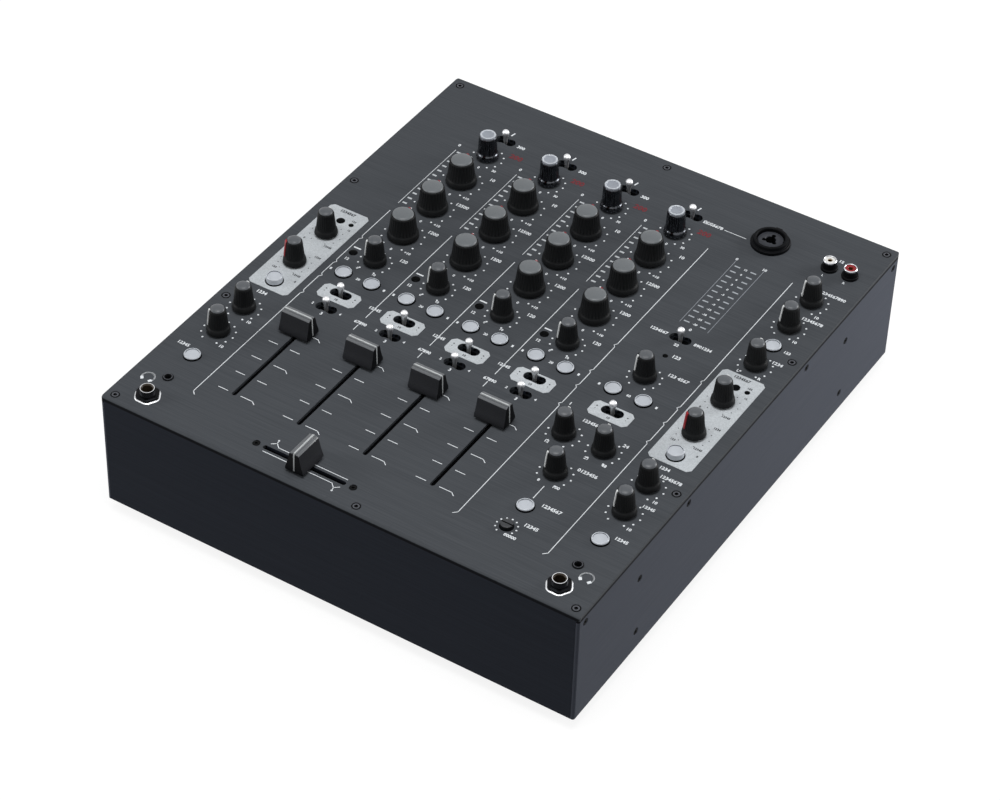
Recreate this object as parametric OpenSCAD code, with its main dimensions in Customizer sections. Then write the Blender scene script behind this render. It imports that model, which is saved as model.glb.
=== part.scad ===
// Four-channel tabletop DJ mixer: a folded top panel on a steel tray between two
// side plates, with rotary controls, faders, toggles and buttons on a control board
// that hangs under the panel. Millimetres. +X right, +Y to the back, +Z up.
// The origin is the centre of the footprint, on the surface that the feet stand on.

/* [Case] */
// Width across the side plates
case_w = 320; // [316:1:380]
// Depth from the front skirt to the rear panel
case_d = 375; // [368:1:430]
// Height of the case without its feet
case_h = 79; // [74:1:110]
// Thickness of the folded top panel
panel_t = 2; // [1.6:0.1:2.4]
// Outside radius of the bend between the top and the front skirt
bend_r = 3; // [2.6:0.1:5]
// Thickness of the side plates
side_t = 2; // [1.7:0.1:2.5]
// Radius of the vertical corners
corner_r = 1.5; // [0.5:0.1:1.5]
// Thickness of the steel tray and the rear panel
wall_t = 1.2; // [0.8:0.1:1.4]

/* [Feet] */
// Height of each rubber foot
foot_h = 10; // [6:1:16]
// Radius of each foot
foot_r = 11; // [8:0.5:15]
// Distance of each foot's axis from the case's edges
foot_inset = 30; // [20:1:50]
// Radius of the hollow under each foot
foot_hollow_r = 5; // [4:0.5:6]
// Thickness of the rubber above that hollow
foot_pad_t = 4; // [3:0.5:4]

/* [Screws] */
// Shank radius of every case screw
screw_r = 1.5; // [1:0.1:1.6]
// Head radius of the panel screws
screw_head_r = 3; // [2.6:0.1:3.6]
// Head radius of the side and rear screws
side_head_r = 2.4; // [2.1:0.1:3]
// Depth of the panel screws' countersink
head_h = 1.5; // [1:0.1:1.5]
// Length of every case screw below its head
screw_len = 4.5; // [3.5:0.5:4.5]
// Distance of the panel screws from the side edges
screw_inset_x = 5.8; // [5.2:0.1:8]
// Distance of the panel screws from the front and back edges
screw_inset_y = 6.2; // [5.6:0.1:7]
// Width of the lugs that the screws thread into
lug_w = 12; // [9:0.5:14]
// Distance of the side plates' upper screws below the panel's top face
side_screw_drop = 8; // [8:0.5:20]
// Height of the side plates' middle screws above the case's bottom
side_screw_mid = 55; // [30:0.5:62]
// Height of the side plates' lower screws above the case's bottom
side_screw_low = 13.5; // [8:0.5:25]

/* [Columns] */
// Distance of the outer control columns from the side edges
outer_inset = 22; // [21:0.5:24]
// Distance of the effects column from the right-hand column
effects_gap = 48.3; // [47:0.1:52]
// Distance of the effects column from the last channel
last_channel_gap = 52.3; // [50:0.1:55]
// Distance of the first channel from the left-hand column
first_channel_gap = 39.8; // [36:0.1:44]
// Pitch of the channel strips
channel_pitch = 45.2; // [43:0.1:46]
// Distance of the two buttons of a pair from their column's middle
button_pair_x = 10.1; // [9:0.1:12]
// Distance of the two shaping knobs from the effects column's middle
shape_pair_x = 13.1; // [11:0.1:15]

/* [Rows from the back edge] */
// Input selector toggles
selector_row = 39.9; // [30:0.1:44]
// Gain knobs
gain_row = 61.1; // [59:0.1:62]
// First row of equaliser knobs
eq_row = 91.5; // [90:0.1:93]
// Pitch of the equaliser rows
eq_pitch = 32.5; // [30:0.1:33]
// Send knobs and the effects return knob
send_row = 186.9; // [182:0.1:188]
// Upper filter knobs
filter_row = 180.8; // [178:0.1:183]
// Pitch of the two filter knobs
filter_pitch = 33.2; // [28:0.1:34]
// Raised filter buttons
filter_button_row = 234.9; // [232:0.1:238]
// Cue button pairs
button_row = 205.5; // [204.5:0.1:208]
// Toggles with a plate around them
plate_toggle_row = 223.1; // [222:0.1:225]
// Pitch of the second toggle in front of them
toggle_pitch = 15.2; // [14:0.1:17]
// Effects source toggle
source_toggle_row = 145.2; // [135:0.5:150]
// Master knob
master_row = 73; // [68:0.5:78]
// Pitch of the booth knob behind the master knob
booth_pitch = 27.7; // [25:0.1:30]
// Master button
master_button_row = 120.7; // [118:0.1:122]
// Balance knob
balance_row = 141.7; // [138:0.1:144]
// Microphone socket and line sockets
socket_row = 37.3; // [32:0.1:40]

/* [Rows from the front edge] */
// Middle of the channel faders' slots
fader_row = 78.6; // [78:0.1:82]
// Distance of that middle from the channels' front toggles
fader_gap = 58.1; // [57:0.1:60]
// Crossfader
crossfader_row = 17.5; // [16.5:0.1:18]
// Distance of the crossfader's middle to the left of the case's middle
crossfader_x = 30.5; // [20:0.5:33]
// Upper headphone knobs
phones_row = 109.2; // [105:0.1:112]
// Lower headphone knobs
phones_low_row = 83.7; // [81:0.1:86]
// Front buttons of the outer and effects columns
front_button_row = 58.1; // [56:0.1:61]
// Shaping knobs of the effects column
shape_row = 120.1; // [117:0.1:122]
// Lower knob of the effects column
shape_low_row = 89.6; // [87:0.1:92]
// Trimmer
trim_row = 38.8; // [36:0.1:42]
// Small headphone jacks
mini_jack_row = 34.7; // [33.8:0.1:36]
// Large headphone jacks
jack_row = 15.4; // [15:0.1:16]

/* [Knobs] */
// Height of the top of the knobs above the panel
knob_h = 19; // [16:0.5:22]
// Gap between a knob and the panel
knob_gap = 1.5; // [1:0.1:2.5]
// Skirt radius of the equaliser knobs
eq_knob_r = 9.8; // [9:0.1:10.5]
// Skirt radius of the small knobs
small_knob_r = 7.2; // [6.6:0.1:8]
// Height of the skirts
skirt_h = 3.4; // [2.5:0.1:5]
// Cap radius of the equaliser knobs
eq_cap_r = 6.7; // [5.5:0.1:7]
// Cap radius of the gain knobs
gain_cap_r = 5.6; // [4.6:0.1:5.7]
// Cap radius of the small knobs
small_cap_r = 4.3; // [3.8:0.1:4.8]
// Height of the domed caps
cap_h = 1.5; // [1:0.1:2]
// Radius of the trimmer's knob
trim_r = 3.8; // [3.4:0.1:5]
// Height of the trimmer's knob above the panel
trim_h = 2.6; // [2.4:0.1:5]
// Width of the pointers
pointer_w = 1.2; // [0.8:0.1:2]

/* [Potentiometers] */
// Radius of the shafts
shaft_r = 3; // [2.5:0.1:3.2]
// Radius of the threaded bushings
bushing_r = 4; // [3.5:0.1:4.4]
// Side of the square potentiometer bodies
pot_side = 11.5; // [10:0.1:12]
// Clearance between the panel's underside and the control board
board_gap = 13; // [12.6:0.1:15]

/* [Faders] */
// Travel of the channel faders
fader_travel = 60; // [45:1:60]
// Travel of the crossfader
crossfader_travel = 45; // [40:1:46]
// Width of the slots
slot_w = 3; // [2.6:0.1:4]
// Length of a fader lever along its slot
lever_l = 6; // [5:0.1:6.5]
// Width of the fader bodies
fader_w = 14; // [12.5:0.1:15]
// Height of the fader bodies
fader_h = 11.5; // [10.5:0.1:12]
// Length of a channel fader's body beyond its travel
fader_spare = 24; // [20:0.5:26]
// Length of the crossfader's body beyond its travel
crossfader_spare = 14; // [14:0.5:16]
// Radius of the rails
rail_r = 1.2; // [0.9:0.1:1.4]
// Length of a fader cap across its slot
fader_cap_l = 20; // [17:0.5:22]
// Width of a fader cap at its foot
fader_cap_w = 12; // [11:0.5:13]
// Width of a fader cap at its top
fader_cap_top_w = 6.2; // [4:0.1:8]
// Height of a fader cap's top above the panel
fader_cap_h = 16; // [13:0.5:19]
// Gap between a fader cap and the panel
fader_cap_gap = 2; // [1:0.1:3]

/* [Toggles] */
// Radius of the ball at the end of a toggle lever
ball_r = 2.3; // [2:0.1:2.8]
// Height of the ball's centre above the panel
ball_h = 6.2; // [5:0.1:8]
// Radius of a toggle's stem
stem_r = 1.5; // [1:0.1:1.6]
// Length of a toggle's slot in the panel
toggle_slot_l = 14.2; // [12:0.1:16]
// Width of that slot's two round ends
toggle_slot_w = 6.8; // [5.6:0.1:7]
// Width of that slot's waist, between its ends
toggle_waist_w = 5.4; // [4:0.1:5.6]
// Depth of a toggle's pivot below the panel's top face
pivot_depth = 8; // [7:0.1:9.5]

/* [Buttons] */
// Radius of the button caps
button_r = 5.2; // [4.6:0.1:5.5]
// Height of the flat buttons above the panel
button_h = 1.7; // [1.6:0.1:3]
// Height of the raised buttons above the panel
raised_h = 4.5; // [3.5:0.1:6]
// Travel of the buttons
button_travel = 1.2; // [0.8:0.1:1.5]

/* [Sockets] */
// Bore radius of the 6.3 mm jacks
jack_bore_r = 3.25; // [3.2:0.01:3.3]
// Outside radius of the 6.3 mm jacks' threaded barrels
jack_barrel_r = 4.6; // [4.3:0.1:5]
// Height of the jack barrels above their panel
jack_h = 5; // [4:0.1:6]
// Depth of the 6.3 mm jacks below the panel's top face
jack_depth = 30; // [28:0.5:34]
// Bore radius of the 3.5 mm jacks
mini_bore_r = 1.8; // [1.77:0.01:1.85]
// Outside radius of the RCA barrels
rca_r = 4.15; // [4.1:0.01:4.2]
// Length of the RCA barrels
rca_l = 8.5; // [8:0.1:9.5]
// Outside radius of the microphone socket's flange
combo_r = 12.3; // [11.8:0.1:13]
// Radius of the microphone socket's raised ring
combo_ring_r = 10.8; // [10:0.1:11.2]
// Height of the microphone socket's ring above the panel
combo_h = 4.8; // [4:0.1:6]
// Radius of the XLR sockets' shells
xlr_r = 12; // [11.5:0.1:12.3]
// Pitch of the two RCA sockets of a pair
rca_pitch = 14; // [12.5:0.1:14.5]

/* [Rear panel] */
// Height of the lower row of rear sockets above the case's bottom
rear_low = 24; // [20:0.5:28]
// Height of the upper row of rear sockets above the case's bottom
rear_high = 50; // [46:0.5:54]
// Pitch of the groups of four RCA sockets
rca_group_pitch = 33; // [32:0.5:34]
// Width of the mains inlet
inlet_w = 27; // [25:0.5:28]
// Height of the mains inlet
inlet_h = 20; // [18:0.5:22]
// Width of the mains rocker
rocker_w = 19; // [17:0.5:20]
// Height of the mains rocker
rocker_l = 13; // [11:0.5:14]

/* [Hidden] */
channels = 4;

CHANNEL_KNOBS = ["gain", "high", "mid", "low", "send"];
OTHER_KNOBS = [
    "effects_return_knob", "shape_left_knob", "shape_right_knob", "effects_level_knob", "trimmer",
    "master_knob", "booth_knob", "balance_knob", "filter_right_upper_knob",
    "filter_right_lower_knob", "phones_right_upper_knob", "phones_right_lower_knob",
    "filter_left_upper_knob", "filter_left_lower_knob", "phones_left_upper_knob",
    "phones_left_lower_knob"
];

function channel_node(c, what) = str("channel_", c + 1, "_", what);

$fn = 48;

// Clearances
screw_fit = 0.1;
shaft_fit = 0.05;
knob_fit = 0.05;
rail_fit = 0.05;
bushing_fit = 0.3;
socket_fit = 0.2;
button_fit = 0.4;
seam = 0.15;
pocket_fit = 0.05;
float_gap = 0.3;
part_gap = 0.02;

// Colours
anthracite = "#3d3f45";
side_grey = "#4b4e58";
steel_dark = "#26272c";
knob_black = "#232427";
silver = "#c9cbd0";
nickel = "#b8bac0";
board_green = "#1f4a35";

// Sizes shared between pieces
combo_body_r = 10.4;
mini_barrel_r = 3;
xlr_body_r = 10.5;
bushing_h = 0.9;
pot_h = board_gap - 2.5;
toggle_body_l = 13.5;
toggle_body_w = 9;
barrel_r = 2.2;
barrel_l = 5;
plunger_r = 1.8;
plunger_clear = 1;
push_floor = 1;
standoff_r = 2.5;

// Levels
case_bottom = foot_h;
panel_z = foot_h + case_h;
under_panel = panel_z - panel_t;
board_z = under_panel - board_gap;
board_t = 1.6;

// The RCA sockets stand out of the rear panel, so the case sits half of that forward
// and the footprint's middle is the origin.
rca_flange_r = 5.2;
rca_flange_h = 1.8;
case_y = -rca_l / 2;

// The distances between the columns add up to the panel's width, and those between the rows
// to its depth. On another case, or with other distances, they spread or close up to fill it.
channels_w = first_channel_gap + (channels - 1) * channel_pitch + last_channel_gap;
columns_w = outer_inset + channels_w + effects_gap + outer_inset;
rows_d = plate_toggle_row + toggle_pitch + fader_gap + fader_row;
spread_x = case_w / columns_w;
spread_y = case_d / rows_d;

// Columns and rows in the case's own frame, whose middle is the case's middle
left_x = outer_inset * spread_x - case_w / 2;
right_x = case_w / 2 - outer_inset * spread_x;
effects_x = right_x - effects_gap * spread_x;
channel_step = channel_pitch * spread_x;
cross_x = -crossfader_x * spread_x;
function channel_x(c) = left_x + first_channel_gap * spread_x + c * channel_step;
function back(row) = case_d / 2 - row * spread_y;
function front(row) = row * spread_y - case_d / 2;

function channel_knob_y(k) =
    k == 0 ? back(gain_row) : k == 4 ? back(send_row) : back(eq_row + (k - 1) * eq_pitch);

// Places of the other knobs, in the order of OTHER_KNOBS
OTHER_PLACES = [
    [effects_x, back(send_row)],
    [effects_x - shape_pair_x, front(shape_row)],
    [effects_x + shape_pair_x, front(shape_row)],
    [effects_x, front(shape_low_row)],
    [effects_x, front(trim_row)],
    [right_x, back(master_row)],
    [right_x, back(master_row + booth_pitch)],
    [right_x, back(balance_row)],
    [right_x, back(filter_row)],
    [right_x, back(filter_row + filter_pitch)],
    [right_x, front(phones_row)],
    [right_x, front(phones_low_row)],
    [left_x, back(filter_row)],
    [left_x, back(filter_row + filter_pitch)],
    [left_x, front(phones_row)],
    [left_x, front(phones_low_row)]
];
TRIMMER = 4;
// Knobs that point to the left at rest; the others point to the back
POINTS_LEFT = [0, 3, 5, 6, 9, 11, 13, 15];
left_angle = 212;
back_angle = 90;
// Knob rows whose pointers are turned to the left at rest on every channel
SEND = 4;

KNOB_PLACES = concat(
    [for (c = [0 : channels - 1], k = [0 : len(CHANNEL_KNOBS) - 1]) [channel_x(c), channel_knob_y(k)]],
    OTHER_PLACES
);

TOGGLES = concat(
    [for (c = [0 : channels - 1], y = [
        back(selector_row), back(plate_toggle_row), back(plate_toggle_row + toggle_pitch)
    ]) [channel_x(c), y]],
    [[effects_x, back(source_toggle_row)], [effects_x, back(plate_toggle_row)]]
);
toggles_per_channel = 3;

FLAT_BUTTONS = concat(
    [for (x = concat([for (c = [0 : channels - 1]) channel_x(c)], [effects_x]), s = [-1, 1])
        [x + s * button_pair_x, back(button_row)]],
    [
        [effects_x, front(front_button_row)],
        [right_x, front(front_button_row)],
        [left_x, front(front_button_row)],
        [right_x, back(master_button_row)]
    ]
);
RAISED_BUTTONS = [[left_x, back(filter_button_row)], [right_x, back(filter_button_row)]];

JACKS = [[left_x, front(jack_row)], [right_x, front(jack_row)]];
MINI_JACKS = [[left_x, front(mini_jack_row)], [right_x, front(mini_jack_row)]];
combo_place = [effects_x + 0.7, back(socket_row - 0.6)];
line_pair_shift = 0.5;
LINE_SOCKETS = [for (s = [-1, 1]) [right_x + line_pair_shift + s * rca_pitch / 2, back(socket_row + 0.6)]];

// Panel screws: corners, the middle of the back edge, a point right of the middle of the
// front edge, and two more along each side
screw_x = case_w / 2 - screw_inset_x;
screw_y = case_d / 2 - screw_inset_y;
cross_screw_x = crossfader_travel / 2 + crossfader_spare / 2 + 3.4;
front_screw_gap = 9.8;
front_screw_x = cross_x + cross_screw_x + front_screw_gap;
back_screw_row = 126.9;
front_screw_row = 113.4;
SIDE_LUGS = [
    for (s = [-1, 1], y = [screw_y, back(back_screw_row), front(front_screw_row), -screw_y]) [s * screw_x, y]
];
PANEL_SCREWS = concat(SIDE_LUGS, [[0, screw_y], [front_screw_x, -screw_y]]);
CROSS_SCREWS = [for (s = [-1, 1]) [cross_x + s * cross_screw_x, front(crossfader_row)]];
cross_head_r = screw_head_r - 0.6;
rear_head_h = wall_t - 0.2;
head_sink = 0.1;

// Side screws: [y, height above the case's bottom]
side_end_y = case_d / 2 - 7;
side_inner_row = 118.2;
side_inner_y = back(side_inner_row);
side_mid_row = 66;
side_mid_y = back(side_mid_row);
SIDE_SCREWS = concat(
    [for (y = [-side_end_y, -side_inner_y, side_inner_y, side_end_y]) [y, case_h - side_screw_drop]],
    [for (y = [-side_mid_y, side_mid_y], z = [side_screw_mid, side_screw_low]) [y, z]]
);

// Inner faces
tray_w = case_w - 2 * side_t;
tray_front = panel_t - case_d / 2;
tray_back = case_d / 2 - wall_t;
skirt_w = tray_w - 2 * seam;

FEET = [for (sx = [-1, 1], sy = [-1, 1]) [sx * (case_w / 2 - foot_inset), sy * (case_d / 2 - foot_inset)]];

// Standoffs of the control board, between the columns of controls
standoff_gaps = [18, 26, 24];
STANDOFF_X = [
    left_x + standoff_gaps[0] * spread_x,
    effects_x - standoff_gaps[1] * spread_x,
    right_x - standoff_gaps[2] * spread_x
];
standoff_rows = [25, 170, 45];
STANDOFF_Y = [back(standoff_rows[0]), back(standoff_rows[1]), front(standoff_rows[2])];
riser_w = 60;
riser_t = 3;
riser_overlap = 15;

// Vents in the tray's bottom
vent_count = 6;
vent_l = 60;
vent_w = 3;
vent_pitch = 9;
vent_row = 190;
vent_x = 10;

// Power supply, on its own board behind the power parts' vents
supply_w = 80;
supply_d = 90;
supply_post_h = 5;
supply_post_inset = 6;
supply_back = 64;
supply_x = 22;
supply_edge = 8;
transformer = [38, 42, 28];
transformer_y = 10;
capacitor_r = 8;
capacitor_h = 24;
capacitor_x = 60;
capacitor_y = 16;
capacitor_pitch = 22;
heatsink = [38, 18, 22];
heatsink_y = 60;
fins = 6;
fin_slot_w = 3;
fin_root = 5;

// Faders
carriage_l = 10;
carriage_w = 10;
carriage_h = 5;
rail_x = 3.2;
frame_t = 1.2;
frame_end_t = 1.5;
function slot_length(travel) = travel + lever_l + 5;
lever_t = 1.6;
rail_depth = 6;

// Rear layout, in the case's own frame, seen from above
rear_face = case_d / 2;
rca_groups = 5;
rca_inset = 26;
rca_first_x = rca_inset * spread_x - tray_w / 2;
RCA_X = [for (g = [0 : rca_groups - 1]) rca_first_x + g * rca_group_pitch * spread_x];
rear_jack_gap = 24;
rear_jack_x = RCA_X[rca_groups - 1] + rear_jack_gap * spread_x;
rear_jack_pitch = 19 * spread_x;
REAR_JACKS = [for (i = [0, 1], z = [rear_low, rear_high]) [rear_jack_x + i * rear_jack_pitch, z]];
xlr_gap = 23;
xlr_x = rear_jack_x + rear_jack_pitch + xlr_gap * spread_x;
xlr_pitch = 27 * spread_x;
xlr_z = (rear_low + rear_high) / 2;
XLRS = [for (i = [0, 1]) xlr_x + i * xlr_pitch];
mains_gap = 4.5;
mains_x = XLRS[1] + xlr_r + mains_gap + inlet_w / 2;
inlet_z = rear_low + 4;
rocker_z = rear_high + 7;
inlet_depth = 24;
rear_jack_depth = 26;
rear_body_depth = 12;
POSTS = [for (g = [0 : rca_groups - 3]) (RCA_X[g] + RCA_X[g + 1]) / 2];
post_z = rear_low - 12;
post_r = 2.5;
rear_lug_z = [12, 68];
rear_lug_x = tray_w / 2 - 8;
rocker_tilt = 8;
rocker_pivot = 3;
rocker_pin_r = 1.5;
rocker_wall = 1.6;

module in_case() {
    translate([0, case_y, 0]) children();
}

// Puts its children on the panel's top face at a place in the case's frame
module at_panel(place) {
    translate([place[0], place[1], panel_z]) children();
}

// Puts its children on the rear face, turned so that their +Z points to the back
module at_rear(x, height) {
    translate([x, rear_face, case_bottom + height]) rotate([-90, 0, 0]) children();
}

// A slot with round ends along X
module slot(l, w, h, waist_w = 0) {
    middle_w = waist_w > 0 ? waist_w : w;
    translate([w / 2 - l / 2, -middle_w / 2, 0]) cube([l - w, middle_w, h]);
    for (s = [-1, 1]) translate([s * (l - w) / 2, 0, 0]) cylinder(r = w / 2, h = h);
}

// The case's outline, a rectangle with round corners, as a solid of the case's height
module case_block() {
    translate([0, 0, case_bottom]) linear_extrude(case_h) {
        square([case_w - 2 * corner_r, case_d], center = true);
        square([case_w, case_d - 2 * corner_r], center = true);
        for (sx = [-1, 1], sy = [-1, 1])
            translate([sx * (case_w / 2 - corner_r), sy * (case_d / 2 - corner_r)])
                circle(r = corner_r);
    }
}

// Countersunk hole through a plate of thickness t whose outer face is at z = 0
module countersink(head_r, depth, t) {
    translate([0, 0, -depth]) cylinder(r1 = screw_r + screw_fit, r2 = head_r + screw_fit, h = depth);
    translate([0, 0, -t - 1]) cylinder(r = screw_r + screw_fit, h = t + 1);
}

// Countersunk screw with a hexagonal socket; its head follows the countersink's cone
// and ends just under z = 0
module screw(head_r, depth) {
    top_r = head_r - head_sink * (head_r - screw_r) / depth;
    difference() {
        union() {
            translate([0, 0, -depth]) cylinder(r1 = screw_r, r2 = top_r, h = depth - head_sink);
            translate([0, 0, -head_h - screw_len]) cylinder(r = screw_r, h = head_h + screw_len - depth);
        }
        translate([0, 0, -0.8 * depth]) cylinder(r = screw_r * 0.72, h = depth, $fn = 6);
    }
}

module top_panel() {
    color(anthracite) in_case() difference() {
        intersection() {
            case_block();
            union() {
                translate([-case_w / 2, bend_r - case_d / 2, under_panel])
                    cube([case_w, case_d - bend_r, panel_t]);
                translate([-case_w / 2, bend_r - case_d / 2, panel_z - bend_r])
                    rotate([90, 0, 90]) linear_extrude(case_w) intersection() {
                        difference() {
                            circle(r = bend_r);
                            circle(r = bend_r - panel_t);
                        }
                        translate([-bend_r, 0]) square(bend_r);
                    }
                translate([-skirt_w / 2, -case_d / 2, case_bottom])
                    cube([skirt_w, panel_t, case_h - bend_r]);
            }
        }
        for (p = PANEL_SCREWS) at_panel(p) countersink(screw_head_r, head_h, panel_t);
        for (p = CROSS_SCREWS) at_panel(p) countersink(cross_head_r, head_h, panel_t);
        for (i = [0 : len(KNOB_PLACES) - 1]) at_panel(KNOB_PLACES[i]) through(bushing_r + bushing_fit);
        for (p = TOGGLES) at_panel(p) translate([0, 0, -panel_t - 1])
            slot(toggle_slot_l, toggle_slot_w, panel_t + 2, toggle_waist_w);
        for (p = concat(FLAT_BUTTONS, RAISED_BUTTONS)) at_panel(p) through(button_r + button_fit);
        for (c = [0 : channels - 1]) at_panel([channel_x(c), front(fader_row)]) rotate(90)
            translate([0, 0, -panel_t - 1]) slot(slot_length(fader_travel), slot_w, panel_t + 2);
        at_panel([cross_x, front(crossfader_row)])
            translate([0, 0, -panel_t - 1]) slot(slot_length(crossfader_travel), slot_w, panel_t + 2);
        for (p = JACKS) at_panel(p) through(jack_barrel_r + socket_fit);
        for (p = MINI_JACKS) at_panel(p) through(mini_barrel_r + socket_fit);
        for (p = LINE_SOCKETS) at_panel(p) through(rca_r + socket_fit);
        at_panel(combo_place) through(combo_body_r + socket_fit);
    }
}

module through(r) {
    translate([0, 0, -panel_t - 1]) cylinder(r = r, h = panel_t + 2);
}

module side_plates() {
    color(side_grey) in_case() difference() {
        intersection() {
            case_block();
            for (s = [-1, 1]) translate([s * (case_w - side_t) / 2, 0, 0]) {
                translate([-side_t / 2, -case_d / 2, case_bottom])
                    cube([side_t, case_d, case_h - bend_r - seam]);
                translate([-side_t / 2, bend_r - case_d / 2 + seam, case_bottom])
                    cube([side_t, case_d - bend_r - seam, case_h - panel_t]);
            }
        }
        for (p = SIDE_SCREWS, s = [0, 1]) mirror([s, 0, 0])
            translate([case_w / 2, p[0], case_bottom + p[1]]) rotate([0, 90, 0])
                countersink(side_head_r, head_h, side_t);
    }
}

module chassis_tray() {
    wall_h = case_h - bend_r;
    color(steel_dark) in_case() difference() {
        union() {
            translate([-tray_w / 2, tray_front, case_bottom])
                cube([tray_w, tray_back - tray_front, wall_t]);
            translate([-tray_w / 2, tray_front, case_bottom]) cube([tray_w, wall_t, wall_h]);
            for (s = [-1, 1]) translate([s * (tray_w - wall_t) / 2 - wall_t / 2, tray_front, case_bottom])
                cube([wall_t, tray_back - tray_front, wall_h]);
            // upper part of the side walls, behind the bend
            for (s = [-1, 1])
                translate([s * (tray_w - wall_t) / 2 - wall_t / 2, bend_r - case_d / 2, case_bottom])
                    cube([wall_t, tray_back - bend_r + case_d / 2, case_h - panel_t]);
            // lugs along the sides
            for (p = SIDE_LUGS) let (y0 = max(p[1] - lug_w / 2, bend_r - case_d / 2))
                let (y1 = min(p[1] + lug_w / 2, tray_back))
                    translate([p[0] > 0 ? p[0] - lug_w / 2 : -tray_w / 2 + wall_t / 2, y0, under_panel - wall_t])
                        cube([tray_w / 2 - wall_t / 2 - abs(p[0]) + lug_w / 2, y1 - y0, wall_t]);
            // lug at the front edge
            translate([front_screw_x - lug_w / 2, bend_r - case_d / 2, under_panel - wall_t])
                cube([lug_w, lug_w, wall_t]);
            translate([front_screw_x - lug_w / 2, tray_front, panel_z - bend_r - wall_t])
                cube([lug_w, bend_r, wall_t]);
            // lugs for the rear panel
            for (s = [-1, 1], z = rear_lug_z) translate([
                s * rear_lug_x - (s > 0 ? lug_w / 2 : tray_w / 2 - rear_lug_x - wall_t / 2),
                tray_back - wall_t,
                case_bottom + z - lug_w / 2
            ]) cube([tray_w / 2 - wall_t / 2 - rear_lug_x + lug_w / 2, wall_t, lug_w]);
        }
        for (p = PANEL_SCREWS) at_panel(p) screw_hole();
        for (p = SIDE_SCREWS, s = [-1, 1])
            translate([s * case_w / 2, p[0], case_bottom + p[1]]) rotate([0, s * 90, 0]) screw_hole();
        for (s = [-1, 1], z = rear_lug_z) at_rear(s * rear_lug_x, z) screw_hole();
        for (p = FEET) translate([p[0], p[1], case_bottom]) rotate([180, 0, 0]) screw_hole();
        vents();
    }
}

// Threaded hole for a screw whose head is at z = 0
module screw_hole() {
    translate([0, 0, -head_h - screw_len - 1]) cylinder(r = screw_r + screw_fit, h = screw_len + head_h + 1);
}

// Cooling slots in the bottom
module vents() {
    for (i = [0 : vent_count - 1])
        translate([effects_x - vent_x, back(vent_row + i * vent_pitch), case_bottom - 1])
            slot(vent_l, vent_w, wall_t + 2);
}

module rear_panel() {
    color(steel_dark) in_case() difference() {
        union() {
            translate([-skirt_w / 2, rear_face - wall_t, case_bottom])
                cube([skirt_w, wall_t, case_h - panel_t]);
            translate([-lug_w / 2, rear_face - wall_t - lug_w, under_panel - wall_t])
                cube([lug_w, lug_w + wall_t / 2, wall_t]);
        }
        at_panel([0, screw_y]) screw_hole();
        for (s = [-1, 1], z = rear_lug_z) at_rear(s * rear_lug_x, z)
            countersink(side_head_r, rear_head_h, wall_t);
        for (x = RCA_X, s = [-1, 1], z = [rear_low, rear_high])
            at_rear(x + s * rca_pitch / 2, z) rear_hole(rca_r + socket_fit);
        for (p = REAR_JACKS) at_rear(p[0], p[1]) rear_hole(jack_barrel_r + socket_fit);
        for (x = XLRS) at_rear(x, xlr_z) rear_hole(xlr_body_r + socket_fit);
        for (x = POSTS) at_rear(x, post_z) rear_hole(post_r + socket_fit);
        at_rear(mains_x, inlet_z) translate([0, 0, -wall_t - 1])
            linear_extrude(wall_t + 2) square([inlet_w + 2 * socket_fit, inlet_h + 2 * socket_fit], center = true);
        at_rear(mains_x, rocker_z) translate([0, 0, -wall_t - 1])
            linear_extrude(wall_t + 2) square([rocker_w + 2 * socket_fit, rocker_l + 2 * socket_fit], center = true);
    }
}

module rear_hole(r) {
    translate([0, 0, -wall_t - 1]) cylinder(r = r, h = wall_t + 2);
}

module rubber_feet() {
    taper = 1.2;
    taper_h = 3;
    color("#151517") in_case() for (p = FEET) translate([p[0], p[1], 0]) difference() {
        union() {
            cylinder(r1 = foot_r - taper, r2 = foot_r, h = taper_h);
            translate([0, 0, taper_h]) cylinder(r = foot_r, h = foot_h - taper_h);
        }
        translate([0, 0, -1]) cylinder(r = foot_hollow_r, h = foot_h - foot_pad_t + 1);
        cylinder(r = screw_r + screw_fit, h = foot_h + 1);
    }
}

module case_screws() {
    color("#1b1b1e") in_case() {
        for (p = PANEL_SCREWS) at_panel(p) screw(screw_head_r, head_h);
        for (p = CROSS_SCREWS) at_panel(p) screw(cross_head_r, head_h);
        for (p = SIDE_SCREWS, s = [-1, 1])
            translate([s * case_w / 2, p[0], case_bottom + p[1]]) rotate([0, s * 90, 0])
                screw(side_head_r, head_h);
        for (s = [-1, 1], z = rear_lug_z) at_rear(s * rear_lug_x, z) screw(side_head_r, rear_head_h);
        for (p = FEET) translate([p[0], p[1], foot_h - foot_pad_t]) foot_screw();
    }
}

// Pan-head screw of a foot, its head hanging under z = 0
module foot_screw() {
    pan_h = 1.6;
    bite = 3;
    translate([0, 0, -pan_h]) difference() {
        cylinder(r = screw_head_r, h = pan_h);
        translate([0, 0, -1]) cylinder(r = screw_r * 0.72, h = 2, $fn = 6);
    }
    cylinder(r = screw_r, h = foot_pad_t + bite);
}

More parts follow.
